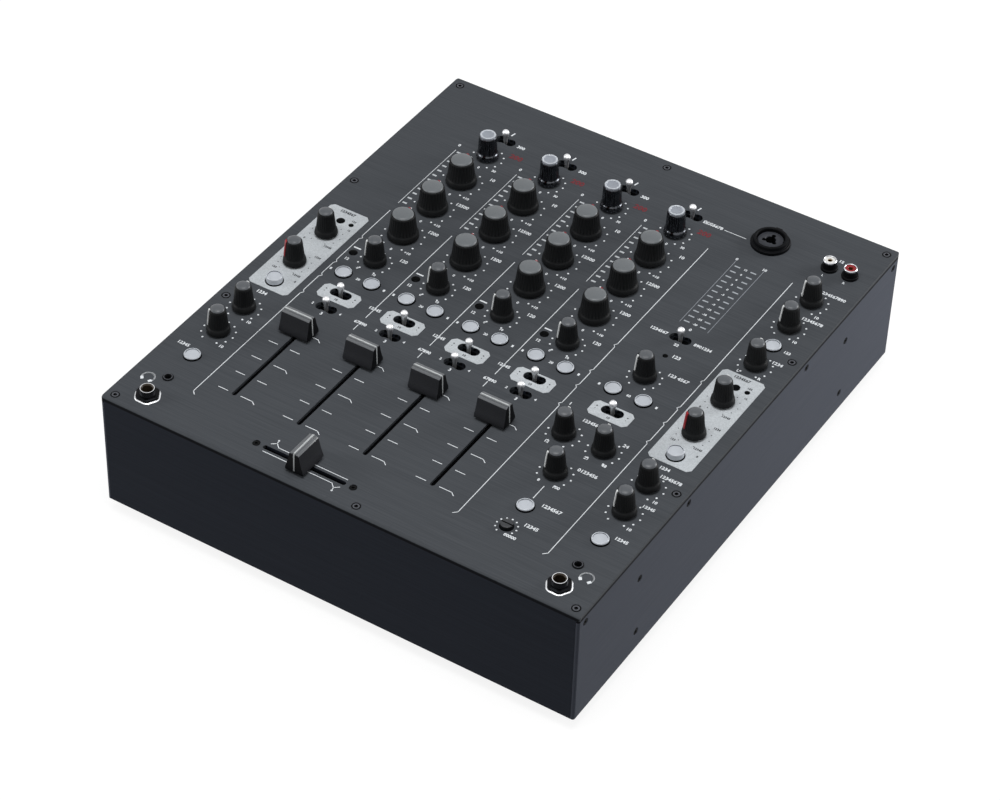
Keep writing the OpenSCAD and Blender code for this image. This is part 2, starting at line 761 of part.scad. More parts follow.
// Control board under the panel, boards behind the rear sockets, and risers between them
module circuit_boards() {
    edge = 10;
    control_back = case_d / 2 - 16;
    control_front = front(mini_jack_row - 6);
    rear_board_y = rear_face - wall_t - rear_body_depth - board_t;
    rear_left = RCA_X[0] - rca_pitch;
    rear_right = RCA_X[rca_groups - 1] + rca_pitch;
    rear_bottom = case_bottom + wall_t + 4;
    rear_top = case_bottom + rear_high + 9;
    color(board_green) in_case() {
        difference() {
            translate([edge - case_w / 2, control_front, board_z - board_t])
                cube([case_w - 2 * edge, control_back - control_front, board_t]);
            translate([combo_place[0], combo_place[1], board_z - board_t - 1])
                cylinder(r = combo_body_r + 1.5, h = board_t + 2);
        }
        translate([rear_left, rear_board_y, rear_bottom])
            cube([rear_right - rear_left, board_t, rear_top - rear_bottom]);
        // riser from the rear board to the control board
        riser_bottom = rear_top - riser_overlap;
        translate([(rear_left + rear_right - riser_w) / 2, rear_board_y - riser_t - part_gap, riser_bottom])
            cube([riser_w, riser_t, board_z - board_t - part_gap - riser_bottom]);
    }
    // feet of the rear board on the tray's bottom
    color(nickel) in_case() for (x = [rear_left + 10, rear_right - 10])
        translate([x, rear_board_y + board_t / 2, case_bottom + wall_t])
            cylinder(r = standoff_r, h = rear_bottom - case_bottom - wall_t - part_gap);
    // standoffs between the panel and the control board
    color(nickel) in_case()
        for (x = STANDOFF_X, y = STANDOFF_Y)
            translate([x, y, board_z + part_gap]) cylinder(r = standoff_r, h = board_gap - part_gap);
}

module power_supply() {
    base_z = case_bottom + wall_t;
    x0 = effects_x - supply_x;
    y0 = back(supply_back) - supply_d;
    z = base_z + supply_post_h + board_t + part_gap;
    color(nickel) in_case()
        for (x = [supply_post_inset, supply_w - supply_post_inset])
            for (y = [supply_post_inset, supply_d - supply_post_inset])
                translate([x0 + x, y0 + y, base_z]) cylinder(r = standoff_r, h = supply_post_h - part_gap);
    color(board_green) in_case() translate([x0, y0, base_z + supply_post_h]) cube([supply_w, supply_d, board_t]);
    color("#3a3a3e") in_case() translate([x0 + supply_edge, y0 + transformer_y, z]) cube(transformer);
    color("#2b3a6b") in_case() for (i = [0 : 2])
        translate([x0 + capacitor_x, y0 + capacitor_y + i * capacitor_pitch, z])
            cylinder(r = capacitor_r, h = capacitor_h);
    fin_pitch = (heatsink[0] - fin_slot_w) / (fins - 1);
    color(silver) in_case() translate([x0 + supply_edge, y0 + heatsink_y, z]) difference() {
        cube(heatsink);
        for (i = [0 : fins - 2])
            translate([(i + 0.5) * fin_pitch, -1, fin_root]) cube([fin_slot_w, heatsink[1] + 2, heatsink[2]]);
    }
}

// One potentiometer: body on the board, bushing through the panel, bore for the shaft
module pot(place) {
    bottom = 1.5;
    translate([place[0], place[1], board_z]) difference() {
        union() {
            translate([-pot_side / 2, -pot_side / 2, 0]) cube([pot_side, pot_side, pot_h]);
            cylinder(r = bushing_r, h = board_gap + panel_t + bushing_h);
        }
        translate([0, 0, bottom]) cylinder(r = shaft_r + shaft_fit, h = board_gap + panel_t + bushing_h);
    }
}

// One toggle switch body: a cradle for the lever's barrel and a slot for its stem
module toggle_body(place) {
    pivot_z = panel_z - pivot_depth;
    difference() {
        translate([place[0] - toggle_body_l / 2, place[1] - toggle_body_w / 2, board_z])
            cube([toggle_body_l, toggle_body_w, board_gap]);
        translate([place[0], place[1], pivot_z]) {
            rotate([90, 0, 0])
                cylinder(r = barrel_r + pocket_fit, h = barrel_l + 2 * pocket_fit, center = true);
            translate([-4.8, -stem_r - 0.3, 0]) cube([9.6, 2 * stem_r + 0.6, pivot_depth]);
        }
    }
}

// One push switch body with the guide for its plunger
module push_body(place) {
    side = 8;
    body_h = 5.5;
    translate([place[0], place[1], board_z]) difference() {
        translate([-side / 2, -side / 2, 0]) cube([side, side, body_h]);
        translate([0, 0, push_floor]) cylinder(r = plunger_r + 0.1, h = body_h);
    }
}

module control_bodies() {
    color("#2f5d8a") in_case() {
        for (p = KNOB_PLACES) pot(p);
    }
    color("#2c2c30") in_case() {
        for (p = TOGGLES) toggle_body(p);
        for (p = concat(FLAT_BUTTONS, RAISED_BUTTONS)) push_body(p);
        // bar-graph lamp blocks under the level meters
        for (c = [0 : channels - 1]) bar_graph([channel_x(c) - channel_step / 2 + 4, back(eq_row + 5)], 4);
        bar_graph([effects_x - 5.8, back(eq_row + 5)], 5);
        bar_graph([effects_x + 5.8, back(eq_row + 5)], 5);
    }
}

module bar_graph(place, w) {
    l = 66;
    translate([place[0] - w / 2, place[1] - l / 2, board_z]) cube([w, l, board_gap - 0.2]);
}

// A fader's frame with its two rails, its travel along X, its top at z = 0
module fader_body(travel, spare, lugs) {
    l = travel + spare;
    lug_l = cross_screw_x - l / 2 + 3.1;
    lug_t = 3;
    difference() {
        union() {
            translate([-l / 2, -fader_w / 2, -fader_h]) cube([l, fader_w, fader_h]);
            if (lugs) for (s = [-1, 1]) translate([s * (l / 2 + lug_l / 2) - lug_l / 2, -4, -lug_t])
                cube([lug_l, 8, lug_t]);
        }
        translate([frame_end_t - l / 2, frame_t - fader_w / 2, frame_t - fader_h])
            cube([l - 2 * frame_end_t, fader_w - 2 * frame_t, fader_h - 2 * frame_t]);
        translate([-slot_length(travel) / 2, -lever_t / 2 - 0.7, -2 * frame_t])
            cube([slot_length(travel), lever_t + 1.4, 3 * frame_t]);
        for (s = [-1, 1]) translate([-l / 2 - 1, s * rail_x, -rail_depth]) rotate([0, 90, 0])
            cylinder(r = rail_r, h = l + 2);
        if (lugs) for (s = [-1, 1]) translate([s * cross_screw_x, 0, -lug_t - 1])
            cylinder(r = screw_r + screw_fit, h = lug_t + 2);
    }
    for (s = [-1, 1]) translate([0.2 - l / 2, s * rail_x, -rail_depth]) rotate([0, 90, 0])
        cylinder(r = rail_r - 0.02, h = l - 0.4);
}

module fader_bodies() {
    color("#8d9096") in_case() {
        for (c = [0 : channels - 1])
            translate([channel_x(c), front(fader_row), board_z + fader_h]) rotate(90)
                fader_body(fader_travel, fader_spare, false);
        translate([cross_x, front(crossfader_row), under_panel])
            fader_body(crossfader_travel, crossfader_spare, true);
    }
}

// Carriage and lever of one fader, its travel along X; top is the body's top below the
// panel's top face
module carriage(top) {
    color(nickel) translate([0, 0, -top]) difference() {
        union() {
            translate([-carriage_l / 2, -carriage_w / 2, -rail_depth - carriage_h / 2])
                cube([carriage_l, carriage_w, carriage_h]);
            translate([-lever_l / 2, -lever_t / 2, -rail_depth])
                cube([lever_l, lever_t, rail_depth + top + fader_cap_h - 5]);
        }
        for (s = [-1, 1]) translate([0, s * rail_x, -rail_depth]) rotate([0, 90, 0])
            cylinder(r = rail_r + rail_fit, h = carriage_l + 2, center = true);
    }
    color(knob_black) difference() {
        rotate([90, 0, 0]) linear_extrude(fader_cap_l, center = true) polygon([
            [-fader_cap_w / 2, fader_cap_gap], [fader_cap_w / 2, fader_cap_gap],
            [fader_cap_w / 2, fader_cap_gap + 2], [fader_cap_top_w / 2, fader_cap_h - 1.4],
            [0.6, fader_cap_h], [-0.6, fader_cap_h],
            [-fader_cap_top_w / 2, fader_cap_h - 1.4], [-fader_cap_w / 2, fader_cap_gap + 2]
        ]);
        translate([-lever_l / 2 - knob_fit, -lever_t / 2 - knob_fit, fader_cap_gap - 1])
            cube([lever_l + 2 * knob_fit, lever_t + 2 * knob_fit, fader_cap_h - 4.7 - fader_cap_gap + 1]);
    }
}

module channel_fader(c) {
    in_case() at_panel([channel_x(c), front(fader_row) + fader_travel / 2]) rotate(90)
        carriage(panel_t + board_gap - fader_h);
}

module crossfader() {
    in_case() at_panel([cross_x, front(crossfader_row)]) carriage(panel_t);
}

// A knob pressed on its shaft; the origin is on the panel's top face
module knob(base_r, top_r, cap_color, angle) {
    body_r = base_r - 1.1;
    shaft_top = knob_h - 4.5;
    shaft_bottom = -panel_t - board_gap + 1.8;
    color(knob_black) difference() {
        union() {
            translate([0, 0, knob_gap]) cylinder(r1 = base_r, r2 = base_r - 0.4, h = skirt_h);
            translate([0, 0, knob_gap]) cylinder(r1 = body_r, r2 = top_r + 0.6, h = knob_h - cap_h - knob_gap);
            rotate(angle) translate([0, -pointer_w / 2, knob_gap]) cube([base_r - 0.7, pointer_w, skirt_h + 0.5]);
        }
        translate([0, 0, -1]) cylinder(r = shaft_r + knob_fit, h = shaft_top + 1.2);
        translate([0, 0, -1]) cylinder(r = bushing_r + 0.5, h = knob_gap + 2);
    }
    color(cap_color) translate([0, 0, knob_h - cap_h]) cylinder(r1 = top_r, r2 = top_r - 0.8, h = cap_h);
    color(nickel) translate([0, 0, shaft_bottom]) cylinder(r = shaft_r, h = shaft_top - shaft_bottom);
}

module channel_knob(c, k) {
    in_case() at_panel([channel_x(c), channel_knob_y(k)]) {
        if (k == 0) knob(small_knob_r, gain_cap_r, silver, back_angle);
        else if (k == SEND) knob(small_knob_r, small_cap_r, "#5c605f", left_angle);
        else knob(eq_knob_r, eq_cap_r, "#5c605f", back_angle);
    }
}

module other_knob(i) {
    turned = len(search(i, POINTS_LEFT)) > 0;
    in_case() at_panel(OTHER_PLACES[i])
        if (i == TRIMMER) trimmer();
        else knob(small_knob_r, small_cap_r, "#5c605f", turned ? left_angle : back_angle);
}

// Low trimmer with a screwdriver slot, on a thinner top to its shaft
module trimmer() {
    bottom = -panel_t - board_gap + 1.8;
    color(knob_black) difference() {
        union() {
            translate([0, 0, bottom]) cylinder(r = shaft_r, h = bushing_h - bottom + float_gap + 0.5);
            translate([0, 0, bushing_h + float_gap]) cylinder(r = trim_r, h = trim_h - bushing_h - float_gap);
        }
        translate([-trim_r, -0.4, trim_h - 0.8]) cube([2 * trim_r, 0.8, 2]);
    }
}

// A toggle's lever: ball, stem and the barrel that it pivots on
module toggle_lever(place) {
    at_panel(place) {
        translate([0, 0, ball_h]) sphere(r = ball_r);
        translate([0, 0, -pivot_depth]) cylinder(r = stem_r, h = pivot_depth + ball_h);
        translate([0, 0, -pivot_depth]) rotate([90, 0, 0]) cylinder(r = barrel_r, h = barrel_l, center = true);
    }
}

module channel_toggles(c) {
    color(nickel) in_case() for (i = [0 : toggles_per_channel - 1])
        toggle_lever(TOGGLES[c * toggles_per_channel + i]);
}

module effects_toggles() {
    color(nickel) in_case() for (i = [channels * toggles_per_channel : len(TOGGLES) - 1])
        toggle_lever(TOGGLES[i]);
}

// A button: cap, the flange that keeps it under the panel, and the plunger
module button(height) {
    flange_z = -panel_t - float_gap - 1.2;
    plunger_z = push_floor + plunger_clear + button_travel - panel_t - board_gap;
    translate([0, 0, flange_z]) cylinder(r = button_r, h = height - flange_z);
    translate([0, 0, flange_z]) cylinder(r = button_r + 1, h = 1.2);
    translate([0, 0, plunger_z]) cylinder(r = plunger_r, h = flange_z - plunger_z + 0.2);
}

module push_buttons() {
    color(silver) in_case() {
        for (p = FLAT_BUTTONS) at_panel(p) button(button_h);
        for (p = RAISED_BUTTONS) at_panel(p) button(raised_h);
    }
}

// A 6.3 mm jack along +Z, its panel's outer face at z = 0
module jack(depth, plate) {
    body_r = 7.4;
    nut_h = 2.2;
    nut_r = 8;
    color(nickel) difference() {
        union() {
            translate([0, 0, -plate]) cylinder(r = jack_barrel_r, h = plate + jack_h);
            cylinder(r = nut_r, h = nut_h, $fn = 6);
        }
        translate([0, 0, -plate - 1]) cylinder(r = jack_bore_r, h = plate + jack_h + 2);
    }
    color("#1c1c1f") difference() {
        translate([0, 0, -depth]) cylinder(r = body_r, h = depth - plate);
        translate([0, 0, 1 - depth]) cylinder(r = jack_bore_r, h = depth);
    }
}

module mini_jack(place) {
    body = 9;
    at_panel(place) difference() {
        union() {
            translate([-body / 2, -5.5, -panel_t - board_gap]) cube([body, 11, board_gap]);
            translate([0, 0, -panel_t]) cylinder(r = mini_barrel_r, h = panel_t + 0.8);
        }
        translate([0, 0, 1 - panel_t - board_gap]) cylinder(r = mini_bore_r, h = 30);
    }
}

// An RCA socket along +Z with its flange on the panel's outer face at z = 0
module rca(length) {
    pin_bore_r = 1.6;
    difference() {
        union() {
            translate([0, 0, -0.8]) cylinder(r = rca_r, h = length + 0.8);
            cylinder(r = rca_flange_r, h = rca_flange_h);
        }
        translate([0, 0, length - 7.5]) cylinder(r = pin_bore_r, h = 8);
    }
}

module combo_socket() {
    depth = 32;
    face = combo_h - 1;
    color("#17171a") difference() {
        union() {
            cylinder(r = combo_r, h = 2.4);
            translate([0, 0, 2.4]) cylinder(r = combo_ring_r, h = combo_h - 2.4);
            translate([0, 0, -depth]) cylinder(r = combo_body_r, h = depth);
        }
        translate([0, 0, face]) cylinder(r = combo_ring_r - 2, h = 2);
        translate([0, 0, 1 - depth]) cylinder(r = jack_bore_r, h = depth + combo_h);
        for (a = [90, 210, 330]) rotate(a) translate([5.3, 0, face - 14]) cylinder(r = 1.3, h = 16);
    }
}

module panel_sockets() {
    in_case() {
        for (p = JACKS) at_panel(p) jack(jack_depth, panel_t);
        color("#1c1c1f") for (p = MINI_JACKS) mini_jack(p);
        at_panel(combo_place) combo_socket();
        color(silver) for (p = LINE_SOCKETS) at_panel(p) rca(7);
        // bodies of the line sockets between the panel and the board
        color("#1c1c1f") for (p = LINE_SOCKETS) translate([p[0] - 5, p[1] - 5, board_z])
            cube([10, 10, board_gap]);
    }
}

module rear_sockets() {
    in_case() {
        for (x = RCA_X, s = [-1, 1], z = [rear_low, rear_high]) {
            color(silver) at_rear(x + s * rca_pitch / 2, z) rca(rca_l);
            color("#1c1c1f") at_rear(x + s * rca_pitch / 2, z) translate([-5, -5, -wall_t - rear_body_depth])
                cube([10, 10, rear_body_depth]);
        }
        for (p = REAR_JACKS) at_rear(p[0], p[1]) jack(rear_jack_depth, wall_t);
        color("#b9bbc1") for (x = XLRS) at_rear(x, xlr_z) xlr_plug();
        color(nickel) for (x = POSTS) at_rear(x, post_z) {
            translate([0, 0, -wall_t - 3]) cylinder(r = post_r, h = wall_t + 3 + 7);
            translate([0, 0, 1]) cylinder(r = post_r + 1.2, h = 4.5);
        }
        color("#1c1c1f") at_rear(mains_x, inlet_z) inlet();
        color("#1c1c1f") at_rear(mains_x, rocker_z) rocker_frame();
    }
}

// An XLR output socket with its three pins
module xlr_plug() {
    depth = 18;
    cup = 13;
    difference() {
        union() {
            cylinder(r = xlr_r, h = 1.6);
            translate([0, 0, -depth]) cylinder(r = xlr_body_r, h = depth);
        }
        translate([0, 0, -cup]) cylinder(r = xlr_body_r - 1.2, h = cup + 3);
    }
    for (a = [30, 150, 270]) rotate(a) translate([4.8, 0, -cup - 1]) cylinder(r = 1.2, h = cup - 1);
}

// The mains inlet: a cup with three blades
module inlet() {
    wall = 2;
    cup = 16;
    difference() {
        union() {
            translate([-inlet_w / 2, -inlet_h / 2, -inlet_depth]) cube([inlet_w, inlet_h, inlet_depth]);
            translate([-inlet_w / 2 - 1.5, -inlet_h / 2 - 1.5, 0]) cube([inlet_w + 3, inlet_h + 3, 1.6]);
        }
        translate([wall - inlet_w / 2, wall - inlet_h / 2, -cup])
            cube([inlet_w - 2 * wall, inlet_h - 2 * wall, cup + 3]);
    }
    for (p = [[-6, -2], [6, -2], [0, 3]])
        translate([p[0] - 1, p[1] - 2, -cup - 1]) cube([2, 4, cup - 3]);
}

// Frame of the mains rocker, with the bore for the rocker's pin
module rocker_frame() {
    wall = rocker_wall;
    depth = 14;
    difference() {
        union() {
            translate([-rocker_w / 2, -rocker_l / 2, -depth]) cube([rocker_w, rocker_l, depth]);
            translate([-rocker_w / 2 - 1.2, -rocker_l / 2 - 1.2, 0]) cube([rocker_w + 2.4, rocker_l + 2.4, 1.2]);
        }
        translate([wall - rocker_w / 2, wall - rocker_l / 2, -depth + 1.6])
            cube([rocker_w - 2 * wall, rocker_l - 2 * wall, depth + 3]);
        translate([0, 0, -rocker_pivot]) rotate([0, 90, 0])
            cylinder(r = rocker_pin_r + shaft_fit, h = rocker_w - rocker_wall + 0.4, center = true);
    }
}

// The mains rocker: a shallow V that turns on a pin across its frame, at rest tipped
// to the off side
module mains_rocker() {
    w = rocker_w - 2 * rocker_wall - 0.6;
    l = rocker_l - 2 * rocker_wall - 1.2;
    color("#a12a25") in_case() at_rear(mains_x, rocker_z) translate([0, 0, -rocker_pivot]) {
        rotate([rocker_tilt, 0, 0]) rotate([90, 0, 90]) linear_extrude(w, center = true) polygon([
            [-l / 2, -1.5], [0, -2.4], [l / 2, -1.5],
            [l / 2 - 0.3, 4.6], [0, 3.9], [0.3 - l / 2, 4.6]
        ]);
        rotate([0, 90, 0]) cylinder(r = rocker_pin_r, h = rocker_w - rocker_wall, center = true);
    }
}

top_panel();
side_plates();
chassis_tray();
rear_panel();
rubber_feet();
case_screws();
circuit_boards();
power_supply();
control_bodies();
fader_bodies();
panel_sockets();
rear_sockets();
mains_rocker();
push_buttons();
for (c = [0 : channels - 1], k = [0 : len(CHANNEL_KNOBS) - 1])
    channel_knob(c, k);
for (i = [0 : len(OTHER_KNOBS) - 1])
    other_knob(i);
for (c = [0 : channels - 1])
    channel_fader(c);
crossfader();
for (c = [0 : channels - 1])
    channel_toggles(c);
effects_toggles();
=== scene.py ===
# %% [markdown]
# # A four-channel DJ mixer
# The frame of this model is a set of CAD parts at their real size: a folded steel top, side plates,
# a tray, knobs on their shafts, faders, toggles and sockets. This script dresses that frame. It is
# loaded first, and its box is kept.

# %% Load the frame
import math

import bmesh
import bpy
from mathutils import Matrix, Vector


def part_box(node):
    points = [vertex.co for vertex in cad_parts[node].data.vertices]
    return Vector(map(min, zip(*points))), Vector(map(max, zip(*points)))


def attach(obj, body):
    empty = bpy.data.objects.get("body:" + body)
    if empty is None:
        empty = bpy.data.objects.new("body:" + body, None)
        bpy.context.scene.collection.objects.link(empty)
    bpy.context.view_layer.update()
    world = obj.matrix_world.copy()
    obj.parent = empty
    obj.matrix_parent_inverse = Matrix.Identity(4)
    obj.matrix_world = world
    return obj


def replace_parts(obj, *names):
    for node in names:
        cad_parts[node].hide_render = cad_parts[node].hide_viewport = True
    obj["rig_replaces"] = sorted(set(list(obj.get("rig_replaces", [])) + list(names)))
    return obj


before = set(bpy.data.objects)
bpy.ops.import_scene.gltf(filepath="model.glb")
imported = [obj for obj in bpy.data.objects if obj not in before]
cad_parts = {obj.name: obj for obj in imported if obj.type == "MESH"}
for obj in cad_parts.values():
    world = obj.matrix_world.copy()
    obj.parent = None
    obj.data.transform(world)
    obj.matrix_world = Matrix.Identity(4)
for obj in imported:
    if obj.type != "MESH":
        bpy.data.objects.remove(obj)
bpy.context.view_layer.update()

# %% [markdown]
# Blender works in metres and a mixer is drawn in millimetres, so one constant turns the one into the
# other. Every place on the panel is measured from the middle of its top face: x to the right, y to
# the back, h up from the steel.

MM = 0.001

panel_low, panel_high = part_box("top_panel")
panel_middle = Vector(((panel_low.x + panel_high.x) / 2, (panel_low.y + panel_high.y) / 2, panel_high.z))


def on_panel(x, y, h=0):
    """A point of the panel, in metres, from its place in mm."""
    return panel_middle + Vector((x, y, h)) * MM


def place_of(node):
    """The middle of a CAD node, in mm from the middle of the panel."""
    low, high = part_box(node)
    offset = ((low + high) / 2 - panel_middle) / MM
    return offset.x, offset.y


channels = [1, 2, 3, 4]
channel_x = [place_of(f"channel_{c}_send_knob")[0] for c in channels]
effects_x = place_of("effects_level_knob")[0]
left_x = place_of("phones_left_upper_knob")[0]
right_x = place_of("phones_right_upper_knob")[0]
columns = [*channel_x, effects_x]
print("columns at", [round(x, 1) for x in [left_x, *columns, right_x]], "mm")

# %% [markdown]
# The camera looks down on the front right corner. It stands far off with a long lens, which keeps
# the edges of the case nearly parallel, as a catalogue picture does.

# %% Camera
camera_place = Vector((733.3, -1232.7, 1292.8)) * MM
camera_turn = math.radians(31.07)
camera_height = math.radians(41.49)
camera_roll = math.radians(1.94)

backwards = Vector((
    math.sin(camera_turn) * math.cos(camera_height),
    -math.cos(camera_turn) * math.cos(camera_height),
    math.sin(camera_height),
))
level = Vector((0, 0, 1)).cross(backwards).normalized()
right = Matrix.Rotation(camera_roll, 3, backwards) @ level
up = backwards.cross(right)

lens = bpy.data.cameras.new("catalogue_lens")
lens.lens = 114.25
camera = bpy.data.objects.new("catalogue_camera", lens)
bpy.context.collection.objects.link(camera)
turn = Matrix((right, up, backwards)).transposed().to_4x4()
camera.matrix_world = Matrix.Translation(camera_place) @ turn
bpy.context.scene.camera = camera

# %% [markdown]
# Blender's edit-mode tools act on whatever is selected. These helpers select one object, or only the
# corners, edges or faces of it that pass a test on their middle in mm, so that each tool that
# follows works on just what it should.

# %% Selecting
def only(*pieces):
    """Selects these objects and nothing else; the first becomes the active one."""
    bpy.ops.object.select_all(action="DESELECT")
    for piece in pieces:
        piece.select_set(True)
    bpy.context.view_layer.objects.active = pieces[0]


def edit(piece):
    only(piece)
    bpy.ops.object.mode_set(mode="EDIT")


def finish_edit():
    bpy.ops.object.mode_set(mode="OBJECT")


def choose(piece, kind, test):
    """In edit mode, selects the corners, edges or faces whose middle, in mm, passes the test."""
    bpy.ops.mesh.select_mode(type=kind)
    bpy.ops.mesh.select_all(action="DESELECT")
    mesh = bmesh.from_edit_mesh(piece.data)
    parts = {"VERT": mesh.verts, "EDGE": mesh.edges, "FACE": mesh.faces}[kind]
    for part in parts:
        corners = [part] if kind == "VERT" else part.verts
        middle = sum((corner.co for corner in corners), Vector()) / len(corners)
        part.select_set(test(middle / MM))
    mesh.select_flush_mode()
    bmesh.update_edit_mesh(piece.data)


def apply_modifier(piece, kind, **settings):
    """Adds one modifier, sets it and applies it."""
    only(piece)
    modifier = piece.modifiers.new(kind.lower(), kind)
    for name, value in settings.items():
        setattr(modifier, name, value)
    bpy.ops.object.modifier_apply(modifier=modifier.name)


def smooth(piece, angle=35):
    only(piece)
    bpy.ops.object.shade_smooth_by_angle(angle=math.radians(angle))


# %% [markdown]
# Much of a mixer is turned or moulded round: knobs, nuts, jacks, levers, screws. Each is drawn as half
# an outline, a chain of points extruded from one corner, and spun round the upright axis, as a
# lathe would. The spin leaves double corners on the axis, so they are merged and the faces turned out.

# %% Turning
def chain(points, y=0.0):
    """A new object, left in edit mode: edges through these (x, z) points in mm."""
    bpy.ops.mesh.primitive_plane_add(size=MM)
    bpy.ops.object.mode_set(mode="EDIT")
    bpy.ops.mesh.select_mode(type="VERT")
    bpy.ops.mesh.merge(type="CENTER")
    bpy.ops.transform.translate(value=(points[0][0] * MM, y * MM, points[0][1] * MM))
    for (x0, z0), (x1, z1) in zip(points, points[1:]):
        step = ((x1 - x0) * MM, 0, (z1 - z0) * MM)
        bpy.ops.mesh.extrude_vertices_move(TRANSFORM_OT_translate={"value": step})
    bpy.ops.mesh.select_all(action="SELECT")
    return bpy.context.object


def turned(name, outline, steps=48):
    """A round piece from half its outline, a list of (radius, height) in mm."""
    piece = chain(outline)
    piece.name = name
    bpy.ops.mesh.spin(steps=steps, angle=math.tau, center=(0, 0, 0), axis=(0, 0, 1))
    bpy.ops.mesh.select_all(action="SELECT")
    bpy.ops.mesh.remove_doubles(threshold=0.005 * MM)
    bpy.ops.mesh.normals_make_consistent(inside=False)
    finish_edit()
    return piece


def plug(radius, low, high, steps):
    """A plain round plug, to cut holes with."""
    return turned("plug", [(0, low), (radius, low), (radius, high), (0, high)], steps)


def block(name, low, high, bevel=0.0):
    """A box between two corners in mm, its edges rounded."""
    bpy.ops.mesh.primitive_cube_add(size=1)
    piece = bpy.context.object
    piece.name = name
    size = Vector(high) - Vector(low)
    middle = (Vector(high) + Vector(low)) / 2
    piece.data.transform(Matrix.Translation(middle * MM) @ Matrix.Diagonal((*(size * MM), 1)))
    if bevel:
        edit(piece)
        bpy.ops.mesh.select_all(action="SELECT")
        bpy.ops.mesh.bevel(offset=bevel * MM, segments=2)
        finish_edit()
    return piece


# %% [markdown]
# What repeats is modelled once and copied. Each copy gets its own mesh, with its place written into
# the corners, because a finished piece's object stays at the origin as the CAD parts do.

# %% Copying and joining
def moved(piece, place, turn=Matrix()):
    """Turns the piece's mesh and then moves it to its place in metres."""
    piece.data.transform(Matrix.Translation(place) @ turn)
    return piece


def copied(piece, place, turn=Matrix(), name="copy"):
    """A copy with its own mesh, turned and then moved to its place."""
    twin = piece.copy()
    twin.data = piece.data.copy()
    twin.name = name
    bpy.context.collection.objects.link(twin)
    return moved(twin, place, turn)


def joined(name, pieces):
    only(*pieces)
    bpy.ops.object.join()
    pieces[0].name = name
    return pieces[0]


def discard(*pieces):
    for piece in pieces:
        bpy.data.objects.remove(piece)


def cut_out(piece, cutters):
    """Cuts each cutter's shape out of the piece and throws the cutter away."""
    for cutter in cutters:
        apply_modifier(piece, "BOOLEAN", object=cutter, operation="DIFFERENCE", solver="EXACT")
        discard(cutter)


def turn_about(axis, degrees):
    return Matrix.Rotation(math.radians(degrees), 4, axis)


def from_axis(p):
    """How far a point lies from the upright axis."""
    return math.hypot(p.x, p.y)


# %% [markdown]
# ## Finishes
# A colour is written as it is seen, in sRGB hex, and one function makes it linear. One more function
# adds a node with its settings and links. Every pattern's scale is one over a real size in metres.

# %% Colours and nodes
def linear(colour):
    """sRGB hex to the linear colour that a socket takes."""
    shares = [int(colour[i:i + 2], 16) / 255 for i in (1, 3, 5)]
    return (*[s / 12.92 if s <= 0.04045 else ((s + 0.055) / 1.055) ** 2.4 for s in shares], 1)


def add_node(tree, kind, inputs, **settings):
    """Adds a node; an input is given a value, or an output socket to be linked to."""
    made = tree.nodes.new(kind)
    for name, value in settings.items():
        setattr(made, name, value)
    for key, value in inputs.items():
        if isinstance(value, bpy.types.NodeSocket):
            tree.links.new(value, made.inputs[key])
        else:
            made.inputs[key].default_value = value
    return made


def new_material(name, **values):
    """A material, its nodes and its shader, with these values on the shader's own sockets."""
    material = bpy.data.materials.new(name)
    material.use_nodes = True
    tree = material.node_tree
    shader = tree.nodes["Principled BSDF"]
    for key, value in values.items():
        shader.inputs[key.replace("_", " ").title().replace("Ior", "IOR")].default_value = value
    return material, tree, shader


def grain(tree, size, stretch, detail):
    """Noise of this grain size in mm, in the object's own coordinates."""
    place = add_node(tree, "ShaderNodeTexCoord", {})
    mapping = add_node(tree, "ShaderNodeMapping", {"Vector": place.outputs["Object"], "Scale": stretch})
    noise = add_node(tree, "ShaderNodeTexNoise", {
        "Vector": mapping.outputs["Vector"], "Scale": 1 / (size * MM), "Detail": detail
    })
    return noise.outputs["Fac"]


def grained(name, dark, light, size, rough=None, depth=0, stretch=(1, 1, 1), detail=2.0, **values):
    """
    A finish whose colour runs between two tones with one noise. The roughness between two values
    and the relief of a depth in mm follow the same noise, where they are given.
    """
    material, tree, shader = new_material(name, **values)
    noise = grain(tree, size, stretch, detail)
    ramp = add_node(tree, "ShaderNodeValToRGB", {"Fac": noise})
    for stop, place, tone in zip(ramp.color_ramp.elements, [0.35, 0.65], [dark, light]):
        stop.position = place
        stop.color = linear(tone)
    tree.links.new(ramp.outputs["Color"], shader.inputs["Base Color"])
    if rough:
        spread = add_node(tree, "ShaderNodeMapRange", {
            "Value": noise, "To Min": rough[0], "To Max": rough[1]
        })
        tree.links.new(spread.outputs["Result"], shader.inputs["Roughness"])
    if depth:
        bump = add_node(tree, "ShaderNodeBump", {
            "Height": noise, "Distance": depth * MM, "Strength": 1.0
        })
        tree.links.new(bump.outputs["Normal"], shader.inputs["Normal"])
    return material
